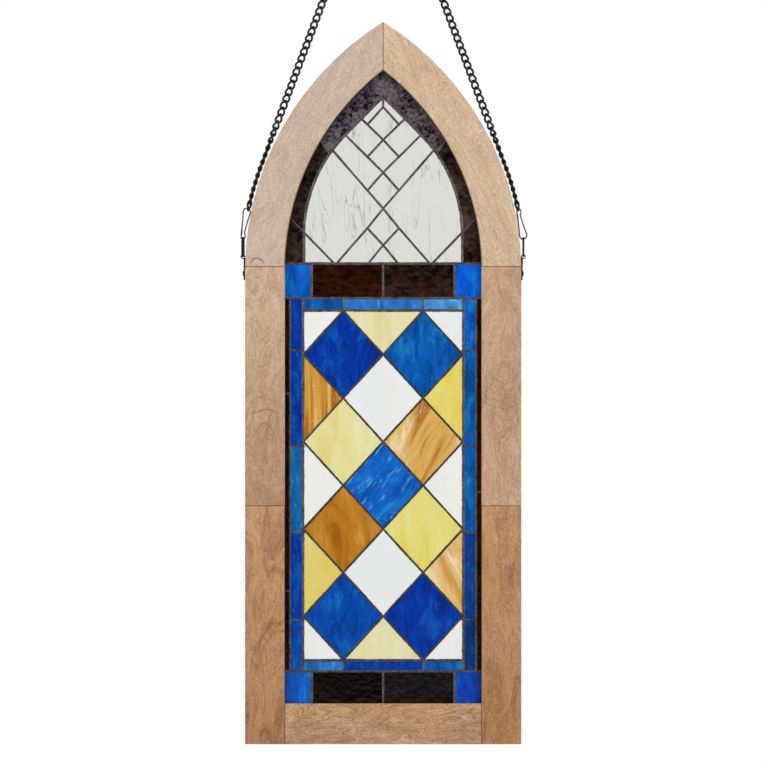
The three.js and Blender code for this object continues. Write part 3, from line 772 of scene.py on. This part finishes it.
def add_blue_strips():
    tones = {-1: ("cobalt", "deep", "sea", "deep", "deep"), 1: ("dark", "navy", "teal", "teal", "azure")}
    for side, sign in SIDES:
        for i, (low, high) in enumerate(pairs([FOOT_BAND_TOP] + SIDE_JOINTS + [HEAD_BAND_BOTTOM])):
            cell = upright_cell(sign * FIELD_HALF, low, sign * STRIP_OUTER, high)
            blue_strip(f"{side}_{i + 1}", cell, 200 + i * 3.1 + sign, tones[sign][i])
    rows = (("top", FIELD_TOP, HEAD_BAND_BOTTOM, ("teal", "sky", "pale")),
            ("bottom", FOOT_BAND_TOP, FIELD_BOTTOM, ("sky", "deep", "teal")))
    for row, low, high, row_tones in rows:
        for i, (x0, x1) in enumerate(pairs([-FIELD_HALF, -HALF_DIAMOND[0], HALF_DIAMOND[0], FIELD_HALF])):
            cell = upright_cell(x0, low, x1, high)
            blue_strip(f"{row}_{i + 1}", cell, 240 + i * 2.7 + low * 9, row_tones[i])


class Tracery:
    """The points of one side of the clear light; ends and corners are numbered like the crossings."""

    def __init__(self, sign):
        self.ends, self.corners = [None], [None]
        for reach, z in zip(STRAP_REACH, CROSSINGS[1:]):
            on_arc = LIGHT_CENTRE.y + sqrt(LIGHT_RADIUS ** 2 - (reach - LIGHT_CENTRE.x) ** 2)
            end = at(sign * reach, on_arc)
            self.ends.append(end)
            self.corners.append(Vector((sign * SIDE_CORNER, z + SIDE_CORNER * ((end.y - z) / reach))))
        self.knee = at(sign * SIDE_CORNER, KNEE)
        self.corners.append(self.knee)
        self.outer_foot, self.inner_foot, self.corner_foot = (
            at(sign * x, HEAD_BAND_TOP) for x in (OUTER_FOOT, INNER_FOOT, CORNER_FOOT))
        self.corner_top = mirrored(BORDER_JOINTS, sign)[1]


def clear_outline():
    """The clear light out to the middle of the solder round it."""
    return inset(node_outline("clear_light"), -(BORDER_LEAD / 2))


def add_clear_light():
    light, material = clear_outline(), clear_glass("clear_light_glass")
    left, right = Tracery(-1), Tracery(1)
    cells = {f"diamond_{i}": [MIDDLE[i - 1], left.corners[i], MIDDLE[i], right.corners[i]]
             for i in range(1, len(MIDDLE))}
    cells["foot_middle"] = [MIDDLE[4], left.inner_foot, right.inner_foot]
    for side, sign in SIDES:
        t = left if sign < 0 else right

        def keep(*cuts):
            """The light left of each line a-b on the right side, and mirrored on the left side."""
            outline = light
            for a, b in ((at(0, 0), at(0, -1)),) + cuts:
                outline = clip(outline, a, b) if sign > 0 else clip(outline, b, a)
            return outline

        cells[f"apex_{side}"] = keep((MIDDLE[0], t.corners[1]), (MIDDLE[1], t.ends[1]))
        for i in (1, 2):
            cells[f"strap_{i}_{side}"] = keep((t.ends[i], MIDDLE[i]), (MIDDLE[i], t.corners[i + 1]),
                                              (MIDDLE[i + 1], t.ends[i + 1]))
        cells[f"side_{side}"] = keep((t.ends[3], MIDDLE[3]), (MIDDLE[3], t.knee), (t.knee, t.outer_foot),
                                     (t.corner_foot, t.corner_top))
        cells[f"foot_{side}"] = [t.knee, MIDDLE[4], t.inner_foot, t.outer_foot]
        cells[f"corner_{side}"] = keep((t.corner_top, t.corner_foot))
    shortest_edge = 0.3 * MM
    for i, (name, outline) in enumerate(cells.items()):
        if area(outline) < 0:
            outline = outline[::-1]
        outline = [p for p, q in edges(outline) if (p - q).length > shortest_edge]
        ripples = drawn(i * 4.3, 0.9 + 0.7 * sin(i * 2.1))
        pane(f"pane_clear_{name}", inset(outline, TUCK), FINE_STEP, ripples, material, "glass_clear",
             "clear_light")


def field_solder():
    field = Soup()
    columns = [i * HALF_DIAMOND[0] for i in range(-2, 3)]
    rows = [FIELD_TOP - j * HALF_DIAMOND[1] for j in range(DIAMOND_ROWS + 1)]
    for j in range(DIAMOND_ROWS):
        for i in range(DIAMOND_COLUMNS):
            x0, x1 = (columns[i], columns[i + 1]) if (i + j) % 2 else (columns[i + 1], columns[i])
            path = [at(x0, rows[j]), at(x1, rows[j + 1])]
            solder_rod(field, path, FIELD_LEAD, i + j * 5.1)
    for j, z in enumerate(rows):
        for i, x in enumerate(columns):
            if (i + j) % 2:
                solder_blob(field, at(x, z), FIELD_LEAD * 0.66, i + j * 1.7)
    return field


def border_solder():
    borders, lines = Soup(), []

    def level(z, xs, width):
        lines.extend((at(a, z), at(b, z), width) for a, b in pairs(xs))

    def upright(x, zs, width):
        lines.extend((at(x, a), at(x, b), width) for a, b in pairs(zs))

    half = HALF_DIAMOND[0]
    for z in (FOOT_BAND_TOP, HEAD_BAND_BOTTOM, HEAD_BAND_TOP):
        level(z, [-PANEL_OUTER, -SQUARE_INNER, 0, SQUARE_INNER, PANEL_OUTER], BORDER_LEAD)
    edge_shift = (FIELD_EDGE_LEAD - FIELD_LEAD) / 2
    for z in (FIELD_BOTTOM - edge_shift, FIELD_TOP + edge_shift):
        level(z, [-FIELD_HALF, -half, 0, half, FIELD_HALF], FIELD_EDGE_LEAD)
    for band in ((HEAD_BAND_BOTTOM, HEAD_BAND_TOP), (PANEL_BOTTOM, FOOT_BAND_TOP)):
        for x in (-SQUARE_INNER, 0, SQUARE_INNER):
            upright(x, band, BORDER_LEAD)
    for sign in (-1, 1):
        for x, width in ((FIELD_HALF + edge_shift, FIELD_EDGE_LEAD), (STRIP_OUTER, BORDER_LEAD)):
            upright(sign * x, [FOOT_BAND_TOP] + SIDE_JOINTS + [HEAD_BAND_BOTTOM], width)
        for heights, near, far in ((SIDE_JOINTS, FIELD_HALF, STRIP_OUTER),
                                   (EDGE_JOINTS[sign], STRIP_OUTER, PANEL_OUTER)):
            for z in heights:
                level(z, (sign * near, sign * far), TRACERY_LEAD)
        for strip in ((FIELD_TOP, HEAD_BAND_BOTTOM), (FOOT_BAND_TOP, FIELD_BOTTOM)):
            upright(sign * half, strip, TRACERY_LEAD)
    joints = set()
    for i, (a, b, width) in enumerate(lines):
        solder_rod(borders, [a, b], width, 31 + i * 1.9)
        joints |= {(round(p.x, 5), round(p.y, 5)) for p in (a, b)}
    for i, joint in enumerate(sorted(joints)):
        solder_blob(borders, Vector(joint), BORDER_LEAD * 0.62, i * 1.3)
    return borders


def arch_solder():
    arch, light, apex = Soup(), clear_outline(), at(0, LIGHT_APEX)
    solder_rod(arch, light + light[:1], BORDER_LEAD, 77, lumps=0.22)
    strokes = [[apex, MIDDLE[0]]]
    for sign in (-1, 1):
        t = Tracery(sign)
        for i in (1, 2, 3):
            strokes += [[t.ends[i], MIDDLE[i]], [MIDDLE[i - 1], t.corners[i]]]
        strokes += [[MIDDLE[3], t.knee], [t.knee, t.outer_foot], [t.knee, MIDDLE[4]],
                    [MIDDLE[4], t.inner_foot], [t.corner_top, t.corner_foot]]
        for joint, start in zip(BORDER_JOINTS, (MIDDLE[3], at(CORNER_FOOT, HEAD_BAND_TOP))):
            away = (joint - start).normalized()
            end = leaves_circle(joint, away, ARCH_CENTRE, PANEL_RADIUS)
            # two strokes side by side, since the solder widens to a wedge at the light's edge
            for inner in (away, at(1, 0)):
                strokes.append(mirrored([leaves_circle(joint, inner, LIGHT_CENTRE, LIGHT_RADIUS), end], sign))
    top = ARCH_CENTRE.y + sqrt(PANEL_RADIUS ** 2 - ARCH_CENTRE.x ** 2)
    strokes.append([apex, at(0, top)])
    for i, path in enumerate(strokes):
        # the last stroke, above the light, is as wide as the borders
        width, lumps = (TRACERY_LEAD, 0.08) if i < len(strokes) - 1 else (BORDER_LEAD, 0.18)
        solder_rod(arch, path, width, 140 + i * 2.3, lumps=lumps)
        for p in path:
            solder_blob(arch, p, width * 0.58, 11 + i)
    # the line round the panel's edge, inside the frame's groove
    half = [at(PANEL_OUTER, PANEL_BOTTOM)]
    half += arc(ARCH_CENTRE, PANEL_RADIUS, 0, acos(-ARCH_CENTRE.x / PANEL_RADIUS), 40)
    outline = half + mirrored(half[::-1], -1)
    solder_rod(arch, outline + outline[:1], HIDDEN_LEAD, 5, lumps=0.05, step=6 * MM, sides=8)
    return arch


def arch_shadow_strip():
    """A dark strip along the arch, next to the wood: painted shadow that the wood casts on the panel."""
    shadow_strip, width, inset_under_wood, gap_at_apex = Soup(), 6 * MM, 1.6 * MM, 0.6 * MM
    edge = arc(ARCH_CENTRE, SIGHT_RADIUS + inset_under_wood, 0.1, acos(ARCH_ACROSS / ARCH_RADIUS), 40)
    edge = [p for p in edge if p.x > gap_at_apex]
    for sign in (-1, 1):
        solder_rod(shadow_strip, mirrored(edge, sign), width, 60 + sign, lumps=0.04, step=5 * MM, sides=8)
    return shadow_strip


def add_solder():
    # the fifth column is the share of painted glints on each solder
    for name, form, metal, colour, glint_share, rough in (
            # this row is a dark strip of painted shadow along the arch, not solder
            ("shadow_strip_arch", arch_shadow_strip, "shadow_strip_dark", (46, 36, 30), 0.0, 0.6),
            ("solder_field", field_solder, "solder_dark", (88, 82, 78), 0.12, 0.5),
            ("solder_borders", border_solder, "solder_grey", (100, 95, 93), 0.4, 0.5),
            ("solder_arch", arch_solder, "solder_even", (112, 108, 106), 0.22, 0.5)):
        form().show(name, solder_metal(metal, srgb(*colour), glint_share, rough), "solder", "solder_lattice", 60)


# ---------- the wood frame ----------
def dressed(node, name, material, slot, edge=0.5 * MM, shortest=12 * MM):
    """A copy of a CAD piece with its long sharp edges eased."""
    bm = bmesh.new()
    bm.from_mesh(NODES[node].data)
    bmesh.ops.remove_doubles(bm, verts=bm.verts, dist=1e-6)
    bmesh.ops.dissolve_limit(bm, angle_limit=radians(0.5), verts=bm.verts, edges=bm.edges)
    sharp = [e for e in bm.edges if e.is_manifold and e.calc_face_angle(0) > radians(35)
             and e.calc_length() > shortest]
    bmesh.ops.bevel(bm, geom=sharp, offset=edge, segments=2, profile=0.5, affect="EDGES", clamp_overlap=True)
    mesh = bpy.data.meshes.new(name)
    bm.to_mesh(mesh)
    bm.free()
    add_piece(name, mesh, material, slot, (node,), 28)


def add_frame():
    pale = ((214, 196, 177), (197, 174, 152), (160, 126, 102))
    peach = ((224, 200, 172), (204, 174, 144), (162, 120, 90))
    mid = ((220, 192, 164), (200, 168, 140), (144, 107, 78))
    mid_warm = ((214, 178, 147), (190, 153, 122), (136, 94, 68))
    warm = ((208, 163, 123), (182, 136, 96), (124, 78, 46))
    rail = ((218, 180, 146), (188, 148, 113), (122, 80, 52))
    arch_seams = (("X", 0.0), ("Z", ARCH_JOINT))
    stile_seams = (("Z", ARCH_JOINT), ("Z", STILE_JOINT))
    low_fade = (STILE_JOINT, FOOT, 0.4)
    looks = [
        ("arch_left", "wood_pale", pale, 27,
         {"blotch": 0.3, "seams": arch_seams, "rim": mirrored([ARCH_CENTRE], -1)[0],
          "rings": {"centre": at(-151 * MM, ARCH_JOINT), "spacing": 8.8 * MM, "near": 8 * MM,
                    "far": 15 * MM, "strength": 0.85, "thin": 0.2}}),
        ("arch_right", "wood_pale", peach, -24, {"blotch": 0.3, "seams": arch_seams, "rim": ARCH_CENTRE}),
        ("upper_stile_left", "wood_mid", mid, 4,
         {"seams": stile_seams, "fade": (ARCH_JOINT, STILE_JOINT, 0.7),
          "rings": {"centre": at(-143 * MM, up(350)), "spacing": 15 * MM, "near": 30 * MM,
                    "far": 70 * MM, "strength": 0.5, "thin": 0.85, "squash": 2.2}}),
        ("upper_stile_right", "wood_mid", mid_warm, -2,
         {"seams": stile_seams,
          "rings": {"centre": at(146 * MM, up(470)), "spacing": 7.5 * MM, "near": 36 * MM,
                    "far": 84 * MM, "strength": 0.4, "thin": 0.85, "squash": 1.7, "side": -1}}),
        # the lower stiles' line at the inner face is the joint with the rail at the foot, and painted shade
        # along the edge towards the glass above it
        ("lower_stile_left", "wood_warm", warm, 5,
         {"blotch": 0.9, "seams": (("Z", STILE_JOINT), ("X", -SIGHT)), "fade": low_fade}),
        ("lower_stile_right", "wood_warm", warm, -3,
         {"blotch": 0.7, "gold": 0.6, "seams": (("Z", STILE_JOINT), ("X", SIGHT)), "fade": low_fade}),
        ("bottom_rail", "wood_warm", rail, 88,
         {"blotch": 0.6, "gold": 0.4, "fibres": 0.7, "seams": (("X", -SIGHT), ("X", SIGHT))}),
    ]
    for i, (name, slot, tones, lean, options) in enumerate(looks):
        node = f"frame_{name}"
        dressed(node, f"wood_{name}", wood(f"{node}_wood", i + 1, tones, lean, **options), slot)


# ---------- hangers and chain ----------
CHAIN_TURN, CHAIN_FIRST = radians(20.6), radians(12.6)
CHAIN_LINKS, LINK_WIRE, LINK_WIDTH, LINK_BITE = 54, 2.4 * MM, 10.2 * MM, 0.2 * MM
CHAIN_RADIUS = ARCH_RADIUS + 4.1 * MM
CHAIN_BEND = ARCH_CENTRE + CHAIN_RADIUS * at(cos(CHAIN_TURN), sin(CHAIN_TURN))
SIDE_ARC = CHAIN_RADIUS * (CHAIN_TURN - CHAIN_FIRST)
HEAD_ACROSS = 2.15 * MM               # where the last link's head bears on the top link
CHAIN_LENGTH = SIDE_ARC + (CHAIN_BEND.x - HEAD_ACROSS) / sin(CHAIN_TURN)
LINK_PITCH = (CHAIN_LENGTH - (LINK_WIRE - LINK_BITE) / 2) / (CHAIN_LINKS - 0.5)
LINK_LENGTH = LINK_PITCH + 2 * LINK_WIRE - LINK_BITE
FLAT_LINKS, TURNING_LINKS = 7, 8
SHOWN_WIRE = LINK_WIRE + 0.3 * MM      # with its coat of enamel
CURL_X, CURL_TOP, RING_TOP, RING_HALF = HALF_WIDTH + 2.8 * MM, up(583) + 1.8 * MM, up(606.1), 6.4 * MM
RING_WIRE, CLIP_WIRE, TOUCH = 2.2 * MM, 1.45 * MM, 0.16 * MM
SHOWN_CLIP = CLIP_WIRE + 0.15 * MM
CLIP_STEPS = 6                         # points of the clip's curve for each point of its outline
SCREW_FACE, SCREW_HEIGHT = HALF_WIDTH + 1.9 * MM, up(563)

# how far a link's foot and head are turned about its length, in degrees
LYING, FACING, HOOKED, LOWEST, TOP_LINK = (45, 135), (-20, 70), (0, 90), (90, 135), (-20, 20)


def link_points(middle, direction, count, twist):
    """The middle line of a link's wire, turned more and more from foot to head."""
    foot, head = (radians(end) for end in twist)
    reach, spread = (LINK_LENGTH - LINK_WIRE) / 2, (LINK_WIDTH - LINK_WIRE) / 2
    side = at(direction.y, -direction.x)
    points = []
    for turn in turns(count):
        lengthwise = cos(turn) * reach
        sideways = copysign(abs(sin(turn)) ** 0.75, sin(turn)) * spread
        angle = foot + (head - foot) * (lengthwise + reach) / (2 * reach)
        in_plane = middle + direction * lengthwise + side * sideways * cos(angle)
        points.append(Vector((in_plane.x, sideways * sin(angle), in_plane.y)))
    return points


def smoothstep(value, low, high):
    t = min(1, max(0, (value - low) / (high - low)))
    return t * t * (3 - 2 * t)


def link_twist(i):
    """Links lie flat against the wood, face the front once clear of it, and turn to meet the top link."""
    if i == 0:
        return LOWEST
    freed = smoothstep(i, FLAT_LINKS, FLAT_LINKS + TURNING_LINKS)
    hooked = smoothstep(i, CHAIN_LINKS - 1 - TURNING_LINKS, CHAIN_LINKS - 1)
    free = [a + (b - a) * freed for a, b in zip(LYING, FACING)]
    return [a + (b - a) * hooked for a, b in zip(free, HOOKED)]


def chain_point(travel):
    """The point so far along the chain's middle line: round the arch, then straight to the top link."""
    angle = CHAIN_FIRST + travel / CHAIN_RADIUS
    if angle < CHAIN_TURN:
        return ARCH_CENTRE + CHAIN_RADIUS * at(cos(angle), sin(angle))
    return CHAIN_BEND + (travel - SIDE_ARC) * at(-sin(CHAIN_TURN), cos(CHAIN_TURN))


def chain_direction(travel):
    """The chain's direction over one link's pitch."""
    return (chain_point(travel + LINK_PITCH / 2) - chain_point(travel - LINK_PITCH / 2)).normalized()


def flip(points, sign):
    return [Vector((sign * p.x, p.y, p.z)) for p in points]


def clip_path(wide_end, narrow_end):
    """The snap clip's outline in millimetres across and along it, laid between its two ends."""
    axis = narrow_end - wide_end
    top = axis.length / MM
    axis.normalize()
    outline = [(0, 0), (2.8, 0.8), (4.6, 3), (4.9, 5.6), (3.8, 10.5), (1.4, top - 10.5), (1.1, top - 8.6),
               (2.2, top - 5.5), (2.4, top - 2.6), (1.6, top - 0.7), (0, top), (-1.5, top - 0.7),
               (-2.3, top - 2.6), (-2.4, top - 8), (-3.1, 12), (-3.6, 6), (-3.5, 3), (-2.2, 0.8)]
    return [Vector((wide_end.x + (axis.x * v + axis.y * u) * MM, 0,
                    wide_end.y + (axis.y * v - axis.x * u) * MM)) for u, v in outline]


def clip_radius(i):
    """The gate's two ends are a little thicker than the wire."""
    swell = max(k * exp(-((i - at * CLIP_STEPS) / 2.0) ** 2) for at, k in ((13, 0.45), (17, 0.3)))
    return SHOWN_CLIP / 2 * (1 + swell)


def ring_path(yaw):
    """A ring with a round crown and a flat bar, which hangs in the strap's curl."""
    bar, crown, corner = CURL_TOP - RING_WIRE / 2 - TOUCH, RING_TOP - RING_HALF, 2.4 * MM
    right = [(RING_HALF - corner, bar), (RING_HALF - corner * 0.3, bar + corner * 0.3),
             (RING_HALF, bar + corner)]
    path = [(-RING_HALF + corner, bar), (0, bar)] + right
    path += [(RING_HALF * cos(t), crown + RING_HALF * sin(t)) for t in np.linspace(0, pi, 13)]
    path += [(-u, v) for u, v in right[:0:-1]]
    return [Vector((CURL_X + u * sin(yaw), u * cos(yaw), v)) for u, v in path]


def screw_head(soup, sign):
    """A domed head with a cross recess, and its shank in the wood."""
    arm_half, arm_reach, recess = 0.42, 2.1, 0.85
    rings = []
    # radius and rise over the strap in millimetres: the shank's end, then the dome
    for radius, rise in ((1.4, -9.9), (1.4, 0), (3.4, 0), (3.35, 0.35), (3.1, 0.75), (2.7, 0.95), (2.3, 1.08),
                         (1.9, 1.18), (1.5, 1.25), (1.1, 1.3), (0.8, 1.33), (0.5, 1.35), (0.25, 1.36)):
        ring = []
        for t in turns(32):
            u, v = radius * cos(t), radius * sin(t)
            in_cross = min(abs(u), abs(v)) < arm_half and radius < arm_reach and rise >= 0
            height = rise - recess if in_cross else rise
            ring.append((sign * (SCREW_FACE + height * MM), u * MM, SCREW_HEIGHT + v * MM))
        rings.append(ring)
    soup.rings(rings)


def add_hangers():
    steel = coated_metal("hanger_steel", srgb(34, 29, 27), 0.4, 0.5)
    nickel = coated_metal("nickel_wire", srgb(98, 91, 84), 0.34, 1.0)
    enamel = coated_metal("black_chain", srgb(6, 6, 7), 0.36, 0.0, wear=0.004)
    link_foot = chain_point(0) - chain_direction(0) * (LINK_LENGTH - LINK_WIRE) / 2
    bearing = (LINK_WIRE + CLIP_WIRE) / 2 + TOUCH
    clip_top = link_foot + at(0, bearing)
    wide_top = link_foot + at(1.6 * MM, bearing + 0.5 * MM)
    clip_foot = at(CURL_X, RING_TOP - (RING_WIRE + CLIP_WIRE) / 2 - TOUCH)
    narrow_foot = clip_foot + at(0.3 * MM, -0.3 * MM)
    # the left clip hangs with its wide end up, the right one with its wide end down
    for side, sign, yaw, ends in (("left", -1, radians(11), (wide_top, narrow_foot)),
                                  ("right", 1, 0, (clip_foot, clip_top))):
        dressed(f"hanger_strap_{side}", f"strap_plate_{side}", steel, "hanger_steel", 0.35 * MM, 3 * MM)
        screw, ring, snap, chain = Soup(), Soup(), Soup(), Soup()
        screw_head(screw, sign)
        wire_loop(ring, smooth_loop(flip(ring_path(yaw), sign), 4), RING_WIRE / 2, 12)
        wire_loop(snap, smooth_loop(flip(clip_path(*ends), sign), CLIP_STEPS), clip_radius, 10)
        for i in range(CHAIN_LINKS):
            travel = i * LINK_PITCH
            points = link_points(chain_point(travel), chain_direction(travel), 24, link_twist(i))
            wire_loop(chain, flip(points, sign), SHOWN_WIRE / 2, 10)
        screw.show(f"screw_{side}", steel, "hanger_steel", f"strap_screw_{side}")
        ring.show(f"ring_{side}", steel, "hanger_steel", f"hanger_ring_{side}")
        snap.show(f"clip_{side}", nickel, "nickel_wire", f"snap_clip_{side}")
        chain.show(f"chain_links_{side}", enamel, "black_chain", f"chain_{side}")
    top = Soup()
    wire_loop(top, link_points(at(0, 0), at(1, 0), 32, TOP_LINK), SHOWN_WIRE / 2, 12)
    top.show("top_link", enamel, "black_chain", "hanging_link")


# ---------- light, floor and camera ----------
def add_light(name, place, size, power):
    """A rectangular soft light turned towards the middle of the window."""
    light = bpy.data.lights.new(name, "AREA")
    light.shape = "RECTANGLE"
    light.size, light.size_y = size
    light.energy = power
    lamp = place_object(name, light)
    lamp.location = place
    lamp.rotation_euler = (Vector((0, 0, -0.62)) - Vector(place)).to_track_quat("-Z", "Y").to_euler()


def add_world():
    """White where it is seen, also through glass; weaker as light, and weaker still in reflections."""
    world = bpy.data.worlds.new("studio")
    bpy.context.scene.world = world
    world.use_nodes = True
    tree = world.node_tree
    rays = add_node(tree, "LightPath").outputs
    seen = add_node(tree, "Math", rays["Is Camera Ray"], rays["Is Transmission Ray"], operation="MAXIMUM")
    strength = add_node(tree, "MapRange", seen.outputs[0], 0.0, 1.0, 0.27, 1.0)
    total = add_node(tree, "Math", rays["Is Glossy Ray"], -0.23, strength.outputs[0],
                     operation="MULTIPLY_ADD")
    background = tree.nodes["Background"]
    join(background.inputs["Strength"], total.outputs[0])
    join(background.inputs["Color"], (1, 1, 1, 1))


def add_floor():
    mesh = bpy.data.meshes.new("floor")
    half, back, level = 6.0, 2.6, FOOT - 0.35
    corners = [(-half, -half, level), (half, -half, level), (half, back, level), (-half, back, level)]
    mesh.from_pydata(corners, [], [(0, 1, 2, 3)])
    floor = place_object("floor", mesh)
    look = Shader("floor_pale", Roughness=0.8)
    look.drive("Base Color", look.ramp(look.noise(look.place, 3), (0.3, 0.74), (0.7, 0.78)))
    mesh.materials.append(look.material)


def add_camera():
    camera = bpy.data.cameras.new("camera")
    camera.lens, camera.sensor_width = 200, 36
    view = place_object("camera", camera)
    view.location = (1 * MM, -5.11, up(430.6))
    view.rotation_euler = (pi / 2, 0, 0)
    bpy.context.scene.camera = view
    bpy.context.scene.view_settings.view_transform = "Standard"


add_panes()
add_edge_strips()
add_blue_strips()
add_clear_light()
add_solder()
add_frame()
add_hangers()
add_world()
add_light("softbox_left", (-2.6, -2.2, 0.1), (1.6, 2.2), 54)
add_light("softbox_right", (2.6, -2.2, 0.1), (1.6, 2.2), 54)
add_light("softbox_top", (0, -1.6, 2.4), (2.0, 1.2), 26)
add_light("softbox_back", (0, 3.0, 1.2), (2.4, 1.6), 60)
add_floor()
add_camera()
